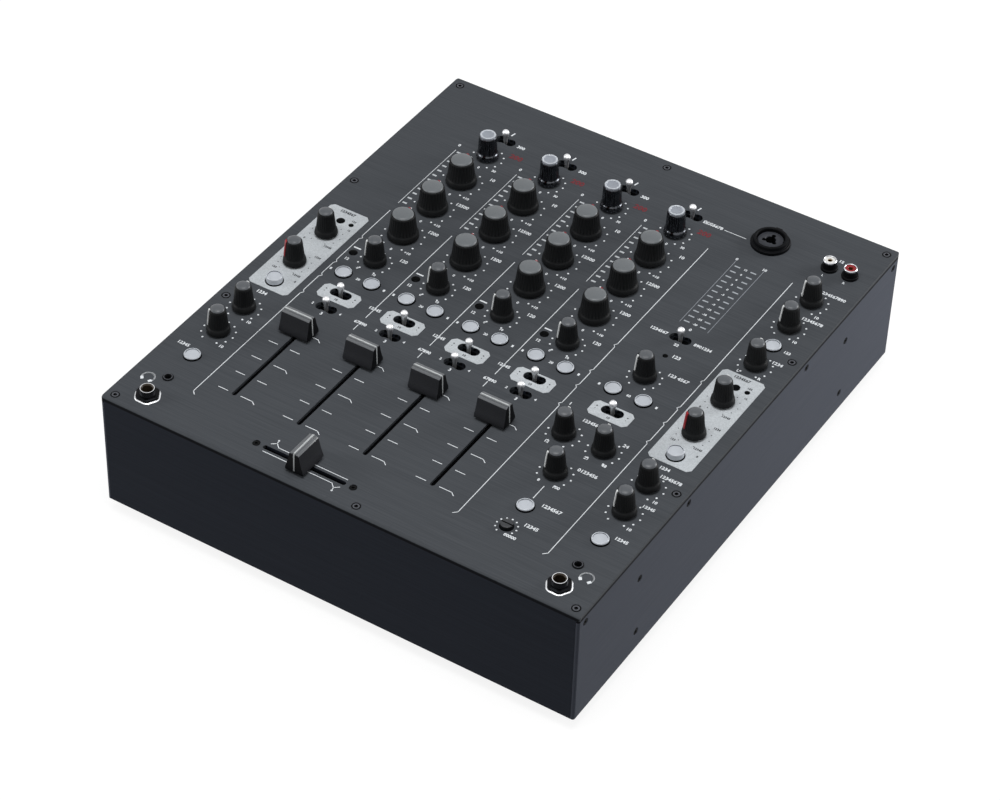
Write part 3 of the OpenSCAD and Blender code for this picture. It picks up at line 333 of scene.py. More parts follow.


# %% [markdown]
# The top is steel brushed from side to side and coated with a thin dark lacquer, so the brushing
# shows as fine long streaks in the tone and the gloss. Real brushing is finer than a tenth of a
# millimetre; it is drawn about half a millimetre wide here, or it would not show at all. The upright
# skirt, and every face of the top that looks to the front or back, is painted darker and bluer as
# painted shade. The bend above the skirt is painted near black as a painted dark reflection, and the
# side plates are painted near black along the seam under the top as painted shade.

# %% Brushed dark lacquer
def shaded(material, factor, stops):
    """Multiplies the colour by levels set at places along the factor."""
    tree = material.node_tree
    shader = tree.nodes["Principled BSDF"]
    ramp = add_node(tree, "ShaderNodeValToRGB", {"Fac": factor})
    ramp.color_ramp.elements.remove(ramp.color_ramp.elements[0])
    for i, (place, level) in enumerate(stops):
        stop = ramp.color_ramp.elements[0] if i == 0 else ramp.color_ramp.elements.new(place)
        stop.position = place
        stop.color = (*level, 1)
    colour = shader.inputs["Base Color"].links[0].from_socket
    mixed = add_node(tree, "ShaderNodeMix", {"Factor": 1.0}, data_type="RGBA", blend_type="MULTIPLY")
    tree.links.new(colour, mixed.inputs[6])
    tree.links.new(ramp.outputs["Color"], mixed.inputs[7])
    tree.links.new(mixed.outputs[2], shader.inputs["Base Color"])


def brushed_lacquer(name, dark, light, along, gloss):
    return grained(
        name, dark, light, 0.55, rough=(0.39, 0.47), depth=0.006, stretch=along, detail=3.0,
        roughness=0.42, specular_ior_level=gloss,
    )


def coordinate(tree, kind):
    """The three parts of one of the object's own coordinates."""
    source = add_node(tree, "ShaderNodeTexCoord", {})
    return add_node(tree, "ShaderNodeSeparateXYZ", {"Vector": source.outputs[kind]}).outputs


def maximum(tree, one, other):
    return add_node(tree, "ShaderNodeMath", {0: one, 1: other}, operation="MAXIMUM").outputs[0]


streaks_in_x, streaks_in_y = (0.012, 1, 1), (1, 0.012, 1)
# Levels that multiply the lacquer's colour: full tone; a darker, bluer tone as painted shade on the
# skirt; and near black as painted shade and painted dark reflection at the bend and the seam.
unshaded, skirt_shade, painted_shade = (1, 1, 1), (0.3, 0.33, 0.42), (0.08, 0.08, 0.09)
seam_top = panel_middle.z - 2 * MM
seam_fade = 3.6 * MM

panel_lacquer = brushed_lacquer("brushed_lacquer_top", "#43464a", "#4a4d51", streaks_in_x, 0.03)
tree = panel_lacquer.node_tree
facing = coordinate(tree, "Normal")
sideways = add_node(tree, "ShaderNodeMath", {0: facing["X"]}, operation="ABSOLUTE")
upright = maximum(tree, facing["Z"], sideways.outputs[0])
# Painted shade: faces looking to the front or back take the skirt's level, and the bend takes the
# near-black level.
shaded(panel_lacquer, upright, [(0, skirt_shade), (0.08, skirt_shade), (0.17, painted_shade), (0.55, painted_shade), (0.68, unshaded)])

side_lacquer = brushed_lacquer("brushed_lacquer_sides", "#4f535d", "#555963", streaks_in_y, 0.015)
tree = side_lacquer.node_tree
depth = add_node(tree, "ShaderNodeMapRange", {
    "Value": coordinate(tree, "Object")["Z"], "From Min": seam_top - seam_fade, "From Max": seam_top
})
# Painted shade: the top strip of the side plates, just under the seam, is near black.
shaded(side_lacquer, depth.outputs["Result"], [(0, unshaded), (0.4, unshaded), (0.5, painted_shade), (1, painted_shade)])

# %% [markdown]
# Folded steel that nobody looks at, the tray and the rear panel, is powder-coated black: a fine
# orange-peel texture with a satin gloss. The feet are moulded rubber, nearly black and dull.

# %% Powder coat and rubber
black_powder = grained("powder_coated_steel", "#1c1d20", "#232428", 0.7, depth=0.03, roughness=0.5)
rubber = grained("moulded_rubber", "#121213", "#1b1b1c", 0.5, depth=0.02, roughness=0.85)

# %% [markdown]
# Knobs are soft-touch ABS: black with a hint of warmth, matt, with a fine spark-eroded grain. The
# caps pressed into their tops are smooth grey polystyrene, paler on the gain knobs. Pointers are
# paint pressed into the moulding.

# %% Knob plastics and pointer paints
def moulded_plastic(name, dark, light, roughness, size=0.25, depth=0.008, gloss=0.3):
    rough = roughness - 0.06, roughness + 0.06
    return grained(name, dark, light, size, rough, depth, specular_ior_level=gloss)


knob_plastic = moulded_plastic("soft_touch_abs", "#151617", "#1c1d1e", 0.45, gloss=0.08)
cap_plastic = moulded_plastic("grey_cap_polystyrene", "#606467", "#696d70", 0.35, depth=0.003)
slim_cap_plastic = moulded_plastic("slim_cap_polystyrene", "#4e5155", "#575a5e", 0.35, depth=0.003)
pale_cap_plastic = moulded_plastic("pale_cap_polystyrene", "#8d929b", "#989da6", 0.3, depth=0.003)
# A darker grey, painted as shade on the step down into a button's dish.
groove_shade = moulded_plastic("button_groove_painted_shade", "#5d6167", "#676b71", 0.5, gloss=0.1)
button_plastic = moulded_plastic(
    "button_polycarbonate", "#b4b9c0", "#bdc2c9", 0.2, depth=0.003, gloss=0.5
)
worn_cap_plastic = moulded_plastic("worn_cap_nylon", "#2a2c2f", "#34363a", 0.4, depth=0.003)
pointer_white = moulded_plastic("pointer_paint_white", "#dadcdc", "#e6e8e8", 0.5, depth=0.004)
pointer_red = moulded_plastic("pointer_paint_red", "#8c1f26", "#9c252c", 0.5, depth=0.004)

# %% [markdown]
# Levers and barrels are nickel-plated brass: a metal with a slightly warm grey colour and fine turning
# marks. The jack nuts are blackened steel. The gain knobs are plated with black chrome, which mirrors
# the printing around them. Contacts are gilt.

# %% Plated metals
def plated_metal(name, dark, light, roughness):
    rough = roughness - 0.05, roughness + 0.07
    return grained(name, dark, light, 0.3, rough, stretch=(1, 1, 4), metallic=1.0)


nickel = plated_metal("nickel_plate", "#c4c5c9", "#d6d7da", 0.24)
satin_nickel = plated_metal("satin_nickel_plate", "#d0d1d4", "#dedfe1", 0.42)
blackened = plated_metal("blackened_steel", "#101113", "#17181a", 0.4)
black_chrome = plated_metal("black_chrome", "#46484c", "#525459", 0.14)
gilt = plated_metal("gilt_contact", "#a8853f", "#bd9a52", 0.28)

# %% [markdown]
# Printing on the panel is screen ink: a thin, slightly raised, matt layer. White ink for lines and
# numbers, a silver-grey ink for the plates round some switches, and a little red and black.

# %% Screen inks
def screen_ink(name, dark, light, roughness=0.55):
    rough = roughness - 0.05, roughness + 0.05
    return grained(name, dark, light, 0.8, rough, specular_ior_level=0.2)


white_ink = screen_ink("white_screen_ink", "#d8dce0", "#e4e8ec")
fine_ink = screen_ink("grey_screen_ink", "#83878e", "#8f939a")
silver_ink = screen_ink("silver_screen_ink", "#afb4b8", "#bfc4c8", 0.45)
red_ink = screen_ink("red_screen_ink", "#65242a", "#72292f")
black_ink = screen_ink("black_screen_ink", "#26282b", "#303236")
lamp_window = moulded_plastic("lamp_window_acrylic", "#9da2a8", "#aaafb5", 0.25, depth=0, gloss=0.15)
pale_window = moulded_plastic("pale_window_acrylic", "#b9bdc1", "#c5c9cd", 0.25, depth=0, gloss=0.15)
lamp_dark = moulded_plastic("unlit_lamp_epoxy", "#050607", "#08090a", 0.3, depth=0, gloss=0.02)

# %% [markdown]
# Inside the case are things that only show through a slot or with the lid off. They still get a
# finish of their own: solder-masked boards, black switch bodies, fader frames with a black oxide
# coating. The screws have the same coating.

# %% Finishes inside the case
board_mask = moulded_plastic("green_solder_mask", "#174a30", "#1e5a3b", 0.35, size=1.5)
switch_plastic = moulded_plastic("switch_body_nylon", "#0a0c0e", "#101216", 0.6, gloss=0.05)
power_parts = moulded_plastic("power_part_lacquer", "#30313a", "#3c3d47", 0.45, size=1.0)
black_oxide = moulded_plastic("blackened_fader_frame", "#0b0c0d", "#121314", 0.6, size=1.0, gloss=0.05)
worn_ring = moulded_plastic("worn_black_oxide", "#484a4f", "#54565b", 0.5, gloss=0.1)
socket_black = moulded_plastic("socket_nylon", "#0b0c0e", "#121315", 0.5, gloss=0.04)
socket_grey = moulded_plastic("socket_nylon_worn", "#33353a", "#3b3d42", 0.4, gloss=0.1)
bore_brown = moulded_plastic("socket_bore_resin", "#2b241c", "#382f25", 0.4)
white_insulator = moulded_plastic("white_insulator_nylon", "#d9d9d6", "#e4e4e1", 0.4)
red_insulator = moulded_plastic("red_insulator_nylon", "#7d161b", "#8f1c21", 0.4)

for node, coating in {
    "top_panel": panel_lacquer,
    "side_plates": side_lacquer,
    "chassis_tray": black_powder,
    "rear_panel": black_powder,
    "circuit_boards": board_mask,
    "power_supply": power_parts,
    "control_bodies": switch_plastic,
    "fader_bodies": black_oxide,
    "mains_rocker": red_insulator,
}.items():
    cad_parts[node].data.materials.clear()
    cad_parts[node].data.materials.append(coating)


# %% [markdown]
# A piece takes one finish all over, or several by where its faces lie. Then it rides on its body
# and names the CAD part that it stands for.

# %% Finishing a piece
def coat(piece, finish, test=None):
    """Gives the piece a finish, or only those faces whose middle, in mm, passes the test."""
    piece.data.materials.append(finish)
    if test:
        index = len(piece.data.materials) - 1
        for face in piece.data.polygons:
            if test(face.center / MM):
                face.material_index = index


def settle(piece, body, slot, *nodes):
    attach(piece, body)
    if nodes:
        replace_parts(piece, *nodes)
    return piece


# %% [markdown]
# ## Knobs
# A knob is one moulding: a flared skirt, a ribbed grip that narrows to the top, and a grey cap. It is
# turned first, with the metal shaft below it, and then every fourth column of corners on the
# grip is drawn in towards the axis, which leaves the ribs standing.

# %% Knob sizes
knob_gap = 1.5
knob_h = 19.0
skirt_h = 3.4
shaft_r = 3.0
shaft_bottom = -13.2
rib_count = 26
columns_per_rib = 4
rib_depth = 0.94


def knob_outline(base_r, top_r, cap_r, dished):
    """Half outline of a knob on its shaft, from the shaft's end up to the middle of the cap."""
    skirt_top = knob_gap + skirt_h
    grip_r = base_r - 1.1
    cap_z = knob_h - 1.5
    dome = [
        (cap_r - 0.1, cap_z + 0.35), (cap_r - 0.45, cap_z + 0.65), (cap_r * 0.8, cap_z + 0.97),
        (cap_r * 0.55, cap_z + 1.28), (cap_r * 0.28, cap_z + 1.45), (0, knob_h),
    ]
    dish = [
        (cap_r, cap_z + 0.55), (cap_r - 0.1, cap_z + 0.85), (cap_r - 0.4, cap_z + 1.0),
        (cap_r - 0.9, cap_z + 1.0), (cap_r - 1.2, cap_z + 0.8), (cap_r - 1.5, cap_z + 0.4),
        (cap_r * 0.4, cap_z + 0.2), (0, cap_z + 0.15),
    ]
    return [
        (0, shaft_bottom), (shaft_r - 0.3, shaft_bottom), (shaft_r, shaft_bottom + 0.3),
        (shaft_r, knob_gap + 0.9), (4.5, knob_gap + 0.9), (4.5, knob_gap), (base_r - 0.3, knob_gap),
        (base_r, knob_gap + 0.3), (base_r, knob_gap + 0.9), (base_r - 0.4, skirt_top - 0.5),
        (base_r - 0.7, skirt_top), (grip_r + 0.1, skirt_top + 0.35), (grip_r, skirt_top + 0.9),
        (grip_r, skirt_top + 1.2), (top_r + 0.1, cap_z - 1.5), (top_r - 0.05, cap_z - 0.8),
        (top_r - 0.3, cap_z - 0.3), (cap_r + 0.15, cap_z), (cap_r + 0.05, cap_z - 0.2),
        (cap_r, cap_z - 0.15), *(dish if dished else dome),
    ]


def ribbed(piece, low, high, min_r):
    """Draws in every fourth column of corners between two heights."""
    def in_a_groove(corner):
        column = round(math.atan2(corner.y, corner.x) / math.tau * rib_count * columns_per_rib)
        on_grip = low < corner.z < high and from_axis(corner) > min_r
        return on_grip and column % columns_per_rib == 0

    edit(piece)
    choose(piece, "VERT", in_a_groove)
    bpy.ops.transform.resize(value=(rib_depth, rib_depth, 1), center_override=(0, 0, 0))
    finish_edit()


# %% [markdown]
# The pointer is a strip of paint that starts on the knob's shoulder, turns over the edge and runs down
# the grip. It follows the knob's own outline a hair further out, so that it stays on the surface.

# %% Pointer
pointer_lift = 0.25


def pointer(base_r, top_r, cap_r, pointer_w):
    """A strip along +X, from the cap's edge over the shoulder and down the grip."""
    cap_z = knob_h - 1.5
    skirt_top = knob_gap + skirt_h
    grip_r = base_r - 1.1
    path = [
        (cap_r + 0.15, cap_z + 0.1), (top_r - 0.15, cap_z - 0.1), (top_r + 0.05, cap_z - 0.6),
        (top_r + 0.25, cap_z - 1.4), (grip_r + 0.15, skirt_top + 1.6),
    ]
    strip = chain(path, -pointer_w / 2)
    bpy.ops.mesh.extrude_edges_move(TRANSFORM_OT_translate={"value": (0, pointer_w * MM, 0)})
    finish_edit()
    apply_modifier(strip, "SOLIDIFY", thickness=2 * pointer_lift * MM, offset=0)
    return strip


# %% [markdown]
# The four kinds of knob differ in three radii, in the pointer's width and in their finishes: the wide
# ones of the equalisers, the plated gain knobs with pale dished caps, the slim ones of every other
# control, and the slim ones with a broad red pointer. Each kind is made once here.

# %% The kinds of knob
def make_knob(name, base_r, top_r, cap_r, plastic, cap, paint, pointer_w=1.3, dished=False):
    body = turned(name, knob_outline(base_r, top_r, cap_r, dished), rib_count * columns_per_rib)
    ribbed(body, knob_gap + skirt_h + 1, knob_h - 2.9, shaft_r + 0.5)
    coat(body, plastic)
    coat(body, cap, lambda p: p.z > knob_h - 1.6 and from_axis(p) < cap_r + 0.03)
    if dished:
        coat(body, button_plastic, lambda p: p.z > knob_h - 0.72)
    coat(body, nickel, lambda p: p.z < knob_gap + 0.95 and from_axis(p) < shaft_r + 0.1)
    strip = pointer(base_r, top_r, cap_r, pointer_w)
    coat(strip, paint)
    knob = joined(name, [body, strip])
    smooth(knob, 40)
    return knob


wide_knob = make_knob("wide_knob", 9.8, 7.4, 6.5, knob_plastic, cap_plastic, pointer_red)
gain_knob = make_knob(
    "gain_knob", 7.2, 5.6, 5.0, black_chrome, pale_cap_plastic, pointer_white, dished=True
)
slim_knob = make_knob("slim_knob", 7.2, 4.95, 4.2, knob_plastic, slim_cap_plastic, pointer_white, 1.5)
red_knob = make_knob("red_knob", 7.2, 4.95, 4.2, knob_plastic, slim_cap_plastic, pointer_red, 2.6)
print("a knob has", len(wide_knob.data.polygons), "faces")

# %% [markdown]
# Each copy stands where its CAD knob stands and turns with that knob's body. The sends, the levels and
# the lower knobs at the sides are turned down and point to the left; the others point to the back.

# %% Setting the knobs
to_the_back, to_the_left = turn_about("Z", 90), turn_about("Z", 222)
turned_down = ("send", "return", "level", "master", "booth", "lower")
channel_kinds = {
    "gain": gain_knob, "high": wide_knob, "mid": wide_knob, "low": wide_knob, "send": slim_knob
}
knobs = {f"channel_{c}_{control}": kind for c in channels for control, kind in channel_kinds.items()}
effects_controls = ["effects_return", "shape_left", "shape_right", "effects_level"]
for control in [*effects_controls, "master", "booth", "balance"]:
    knobs[control] = slim_knob
for side in ["right", "left"]:
    knobs[f"filter_{side}_upper"] = slim_knob
    knobs[f"filter_{side}_lower"] = red_knob
    knobs[f"phones_{side}_upper"] = slim_knob
    knobs[f"phones_{side}_lower"] = slim_knob

for control, kind in knobs.items():
    node = f"{control}_knob"
    turn = to_the_left if control.endswith(turned_down) else to_the_back
    knob = copied(kind, on_panel(*place_of(node)), turn, f"{control}_moulding")
    settle(knob, node, "knob_plastic", node)
discard(wide_knob, gain_knob, slim_knob, red_knob)
print(len(knobs), "knobs set")

# %% [markdown]
# The trimmer is a low disc with a screwdriver slot, sunk almost level with the panel.

# %% Trimmer
trim_r = 3.8
trim_top = 2.6
trim = turned("trimmer_disc", [
    (0, shaft_bottom), (shaft_r, shaft_bottom), (shaft_r, 1.2), (trim_r - 0.2, 1.2), (trim_r, 1.4),
    (trim_r, trim_top - 0.5), (trim_r - 0.15, trim_top - 0.15), (trim_r - 0.5, trim_top), (0, trim_top),
], 40)
driver_slot = block(
    "driver_slot", (-trim_r - 1, -0.45, trim_top - 0.8), (trim_r + 1, 0.45, trim_top + 1)
)
cut_out(trim, [driver_slot])
coat(trim, knob_plastic)
coat(trim, worn_cap_plastic, lambda p: p.z > trim_top - 0.1)
smooth(trim)
moved(trim, on_panel(*place_of("trimmer")))
settle(trim, "trimmer", "knob_plastic", "trimmer")

# %% [markdown]
# ## Fader caps
# A fader cap is a moulded wedge: a low foot, two slopes pinched in for the fingertips, and a narrow
# top with a pale line along its ridge that also runs down both ends. It starts as a flat box whose
# top face is extruded and narrowed in steps; the line is a piece of its own.

# %% One fader cap
cap_l = 20.0
cap_w = 12.0
cap_foot = 2.0
cap_top = 16.0
fader_plastic = moulded_plastic("fader_cap_abs", "#27282b", "#303134", 0.42, gloss=0.06)
# A paler grey for the top band of the cap: a painted sheen of its glossy top.
fader_top_sheen = moulded_plastic("fader_cap_painted_sheen", "#5a5d60", "#67696c", 0.3, gloss=0.3)
ridge_paint = moulded_plastic("ridge_line_paint", "#a9adae", "#b8bbbc", 0.4, depth=0.003)
cap_steps = [(4.0, 12.0), (6.5, 10.3), (9.5, 8.6), (12.5, 7.3), (14.7, 6.3), (15.3, 5.2)]


def fader_cap():
    """A cap whose long side lies along X."""
    cap = block("fader_cap", (-cap_l / 2, -cap_w / 2, cap_foot), (cap_l / 2, cap_w / 2, cap_steps[0][0]))
    edit(cap)
    choose(cap, "FACE", lambda p: p.z > cap_steps[0][0] - 0.01)
    for (z0, w0), (z1, w1) in zip(cap_steps, cap_steps[1:]):
        bpy.ops.mesh.extrude_region_move(TRANSFORM_OT_translate={"value": (0, 0, (z1 - z0) * MM)})
        bpy.ops.transform.resize(value=(0.992, w1 / w0, 1), center_override=(0, 0, z1 * MM))
    bpy.ops.mesh.extrude_region_move(TRANSFORM_OT_translate={"value": (0, 0, 0.01 * MM)})
    bpy.ops.transform.resize(value=(1, 2.6 / cap_steps[-1][1], 1), center_override=(0, 0, 0))
    bpy.ops.mesh.extrude_region_move(TRANSFORM_OT_translate={"value": (0, 0, 0.35 * MM)})
    finish_edit()
    edges = {"limit_method": "ANGLE", "angle_limit": math.radians(28)}
    apply_modifier(cap, "BEVEL", width=0.28 * MM, segments=3, **edges)
    coat(cap, fader_plastic)
    # The ends of the cap are coated near black: painted shade standing in for their hollow ends.
    coat(cap, socket_black, lambda p: cap_foot < p.z < 14.6 and abs(p.x) > cap_l / 2 - 0.55)
    # The top band is painted paler as a painted sheen.
    coat(cap, fader_top_sheen, lambda p: p.z > 14.8 and abs(p.x) < cap_l / 2 - 0.4)
    return cap


# %% [markdown]
# The ridge line is inlaid paint. Under the cap, a flat steel lever goes down through the slot to the
# carriage, a block with two holes that slides on the fader's rails.

# %% Ridge line, lever and carriage
lever_l = 6.0
lever_t = 1.6
lever_top = cap_top - 5
carriage_side = 10.0
carriage_h = 5.0
rail_x = 3.2
rail_hole_r = 1.25


def ridge_line():
    half = cap_l / 2
    pieces = [block("ridge", (0.7 - half, -0.5, cap_top - 0.6), (half - 0.7, 0.5, cap_top), 0.15)]
    for side in [-1, 1]:
        end = block("ridge_end", (-0.15, -0.45, cap_foot + 1), (0.15, 0.45, cap_top - 0.3), 0.1)
        lean = turn_about("Y", -side * math.degrees(math.atan2(0.4, cap_top - cap_foot)))
        pieces.append(moved(end, (side * (half + 0.1) * MM, 0, 0), lean))
    line = joined("ridge_line", pieces)
    coat(line, ridge_paint)
    return line


def fader_carriage(rail_z):
    half_l, half_t = lever_l / 2, lever_t / 2
    half, half_h = carriage_side / 2, carriage_h / 2
    lever = block("lever", (-half_l, -half_t, rail_z), (half_l, half_t, lever_top), 0.2)
    carriage = block("carriage", (-half, -half, rail_z - half_h), (half, half, rail_z + half_h), 0.4)
    holes = []
    for side in [-1, 1]:
        bpy.ops.mesh.primitive_cylinder_add(vertices=24, radius=rail_hole_r * MM, depth=4 * half * MM)
        place = Vector((0, side * rail_x, rail_z)) * MM
        holes.append(moved(bpy.context.object, place, turn_about("Y", 90)))
    cut_out(carriage, holes)
    whole = joined("lever_and_carriage", [lever, carriage])
    coat(whole, nickel)
    return whole


# %% [markdown]
# The four channel faders run along Y with their caps across, and the crossfader runs along X, so
# its cap is turned by a quarter. The crossfader's frame hangs straight under the panel and the
# others stand on the control board, so their rails lie at different depths.

# %% Setting the faders
channel_rail_z = -9.5
cross_rail_z = -8.0


def fader(name, rail_z, node, lie):
    """A cap, its line and its carriage, turned to lie along the slot and set where the CAD fader is."""
    parts = [fader_cap(), ridge_line(), fader_carriage(rail_z)]
    for part, degrees in zip(parts, [lie + 90, lie + 90, lie]):
        part.data.transform(turn_about("Z", degrees))
    whole = joined(name, parts)
    smooth(whole, 30)
    moved(whole, on_panel(*place_of(node)))
    return settle(whole, node, "fader_plastic", node)


first_fader = fader("channel_1_fader_cap", channel_rail_z, "channel_1_fader", 90)
for c in channels[1:]:
    node = f"channel_{c}_fader"
    shift = Vector((*place_of(node), 0)) - Vector((*place_of("channel_1_fader"), 0))
    twin = copied(first_fader, shift * MM, name=f"{node}_cap")
    twin["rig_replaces"] = []
    settle(twin, node, "fader_plastic", node)
fader("crossfader_cap", cross_rail_z, "crossfader", 0)

# %% [markdown]
# ## Toggles
# A bat lever thickens towards its tip and ends in a ball. Below the panel it carries the small
# barrel that it tips on. The levers of one channel are coupled to one body, so they are joined.

# %% Bat levers
ball_r = 2.35
ball_h = 6.2
pivot_depth = 8.0
barrel_r = 2.2
barrel_l = 5.0
selector_y = 147.6
plate_toggle_y = -35.6
lower_toggle_y = -50.8
source_toggle_y = 42.3

lever = turned("bat_lever", [
    (0, -pivot_depth), (1.15, -pivot_depth), (1.15, -2), (1.2, 0), (1.4, 2.2), (1.75, 3.9), (2.15, 5.0),
    (ball_r - 0.03, 5.7), (ball_r, ball_h), (ball_r - 0.05, 6.8), (2.1, 7.4), (1.65, 8.0), (1.0, 8.4),
    (0.4, 8.52), (0, 8.54),
], 28)
barrel = turned("barrel", [
    (0, -barrel_l / 2), (barrel_r - 0.2, -barrel_l / 2), (barrel_r, -barrel_l / 2 + 0.2),
    (barrel_r, barrel_l / 2 - 0.2), (barrel_r - 0.2, barrel_l / 2), (0, barrel_l / 2),
], 28)
moved(barrel, (0, 0, -pivot_depth * MM), turn_about("X", 90))
lever = joined("bat_lever", [lever, barrel])
coat(lever, satin_nickel)
smooth(lever, 50)


def levers(name, node, places):
    parts = [copied(lever, on_panel(x, y)) for x, y in places]
    settle(joined(name, parts), node, "lever_nickel", node)


for c, x in zip(channels, channel_x):
    rows = [selector_y, plate_toggle_y, lower_toggle_y]
    levers(f"channel_{c}_bat_levers", f"channel_{c}_toggles", [(x, y) for y in rows])
effects_rows = [source_toggle_y, plate_toggle_y]
levers("effects_bat_levers", "effects_toggles", [(effects_x, y) for y in effects_rows])
discard(lever)

# %% [markdown]
# ## Push buttons
# A button is a pale dished cap with a rolled edge on a black collar; the black collar also stands in
# as painted shade for the gap round the cap. It stands in a round hole a little wider than itself, on a
# flange that keeps it under the panel, and its plunger reaches down to the switch. A darker grey ring
# on the step down into the dish is painted shade.

# %% Buttons
button_r = 5.2
flat_h = 1.7
raised_h = 4.5
flange_r = 6.2
plunger_r = 1.8
plunger_bottom = -11.8


def button(name, height):
    made = turned(name, [
        (0, plunger_bottom), (plunger_r, plunger_bottom), (plunger_r, -3.5), (flange_r, -3.5),
        (flange_r, -2.3), (button_r, -2.3), (button_r, 0.85), (button_r - 0.12, 0.9),
        (button_r - 0.12, height - 0.6), (button_r - 0.2, height - 0.3),
        (button_r - 0.45, height - 0.05), (button_r - 0.7, height),
        (button_r - 0.95, height - 0.08), (button_r - 1.05, height - 0.6),
        (button_r * 0.45, height - 0.72), (0, height - 0.75),
    ], 48)
    coat(made, button_plastic)
    dish_r = button_r - 1
    # Painted shade on the step wall round the dish.
    coat(made, groove_shade, lambda p: p.z > height - 0.5 and abs(from_axis(p) - dish_r) < 0.12)
    # Black below the rim: a collar, and also painted shade for the gap round the cap.
    coat(made, socket_black, lambda p: p.z < 0.88)
    smooth(made, 40)
    return made


pair_x = 10.1
pair_y = -18.0
front_button_y = -129.4
master_button_y = 66.8
filter_button_y = -47.4
flat_places = [(x + side * pair_x, pair_y) for x in columns for side in [-1, 1]]
flat_places += [(x, front_button_y) for x in [left_x, effects_x, right_x]]
flat_places += [(right_x, master_button_y)]
raised_places = [(left_x, filter_button_y), (right_x, filter_button_y)]

flat_button = button("flat_button", flat_h)
raised_button = button("raised_button", raised_h)
buttons = [copied(flat_button, on_panel(*p)) for p in flat_places]
buttons += [copied(raised_button, on_panel(*p)) for p in raised_places]
settle(joined("button_caps", buttons), "push_buttons", "button_plastic", "push_buttons")
discard(flat_button, raised_button)
print(len(buttons), "buttons set")

# %% [markdown]
# ## Sockets on the panel
# A headphone jack is a black threaded barrel with a bright lip, held by a black nut on a bright
# washer. The thread is a zigzag in the turned outline; nut and washer are six-sided, and their
# corners are turned off.

# %% Headphone jacks
jack_bore_r = 3.25
jack_barrel_r = 4.6
jack_h = 6.0
nut_r = 7.9
nut_h = 2.4
washer_h = 0.7
panel_t = 2.0
thread_pitch = 0.55


def thread(radius, low, high):
    """A zigzag outline between two heights."""
    turns = int((high - low) / thread_pitch)
    points = []
    for i in range(turns):
        z = low + i * thread_pitch
        points += [(radius, z), (radius - 0.25, z + thread_pitch / 2)]
    return [*points, (radius, high)]


def hex_nut(name, radius, low, high, bore_r, flat_share):
    """A six-sided nut with its corners turned off and a clear bore."""
    nut = turned(name, [
        (bore_r, low), (radius, low), (radius, high - 0.35), (radius - 0.5, high), (bore_r, high),
        (bore_r, low),
    ], 48)
    for corner in nut.data.vertices:
        angle = math.atan2(corner.co.y, corner.co.x) % (math.tau / 6) - math.tau / 12
        chamfer = 0.5 if corner.co.z > (high - 0.1) * MM else 0
        flat = (flat_share * radius - chamfer) * MM / math.cos(angle)
        reach = from_axis(corner.co)
        if reach > flat:
            corner.co.xy *= flat / reach
    return nut


def jack(plate, depth):
    """A jack through a plate of this thickness, whose body reaches down to this depth."""
    barrel = turned("jack_barrel", [
        (jack_bore_r, -plate), (jack_barrel_r, -plate), *thread(jack_barrel_r, nut_h, jack_h - 0.6),
        (jack_barrel_r - 0.1, jack_h - 0.4), (jack_barrel_r - 0.35, jack_h), (jack_bore_r + 0.65, jack_h),
        (jack_bore_r, jack_h - 0.9), (jack_bore_r, -plate),
    ], 48)
    coat(barrel, blackened)
    coat(barrel, satin_nickel, lambda p: p.z > jack_h - 0.05)
    coat(barrel, bore_brown, lambda p: from_axis(p) < jack_bore_r + 0.5 and p.z < jack_h - 0.05)
    body = turned("jack_body", [
        (0, -depth), (7.4, -depth), (7.4, -plate - 0.3), (7.0, -plate), (jack_bore_r, -plate),
        (jack_bore_r, 2 - depth), (0, 2 - depth),
    ], 40)
    coat(body, socket_black)
    washer = hex_nut("washer", nut_r, 0, washer_h, jack_barrel_r, 0.94)
    coat(washer, satin_nickel)
    nut = hex_nut("jack_nut", nut_r - 0.7, washer_h, nut_h, jack_barrel_r, 0.93)
    coat(nut, blackened)
    return joined("jack", [barrel, body, washer, nut])


phones_jack_y = -172.1
panel_jack = jack(panel_t, depth=30.0)
panel_jacks = [copied(panel_jack, on_panel(x, phones_jack_y)) for x in [left_x, right_x]]

# %% [markdown]
# The small headphone jacks sit almost flush: a black sleeve over a moulded body. Plugs have worn the
# top of its rounded lip.

# %% Mini jacks
mini_r = 3.0
mini_lip_r = 3.4
mini_bore_r = 1.8
mini_y = -152.8
board_gap = 13.0


def mini_jack():
    sleeve = turned("mini_sleeve", [
        (mini_bore_r, -panel_t), (mini_r, -panel_t), (mini_r, 0), (mini_lip_r, 0), (mini_lip_r, 0.3),
        (mini_lip_r - 0.3, 0.6), (mini_lip_r - 0.7, 0.8), (mini_bore_r + 0.5, 0.8),
        (mini_bore_r + 0.3, 0.6), (mini_bore_r, 0.1), (mini_bore_r, -panel_t),
    ], 36)
    coat(sleeve, socket_black)
    coat(sleeve, worn_ring, lambda p: p.z > 0.75)
    body = block("mini_body", (-4.5, -5.5, -panel_t - board_gap), (4.5, 5.5, -panel_t), 0.4)
    cut_out(body, [plug(mini_bore_r, -13, 0, 24)])
    coat(body, socket_black)
    return joined("mini_jack", [sleeve, body])


small_jack = mini_jack()
mini_jacks = [copied(small_jack, on_panel(x, mini_y)) for x in [left_x, right_x]]

# %% [markdown]
# The microphone socket takes two kinds of plug. It is one black moulding: a flange, a raised ring, a
# sunken face whose bore opens into three pin holes, and a latch at the back edge.

# %% Microphone socket
combo_r = 12.3
combo_ring_r = 10.8
combo_h = 4.8
combo_body_r = 10.4
combo_x, combo_y = effects_x + 0.7, 150.8
pin_circle_r = 4.0


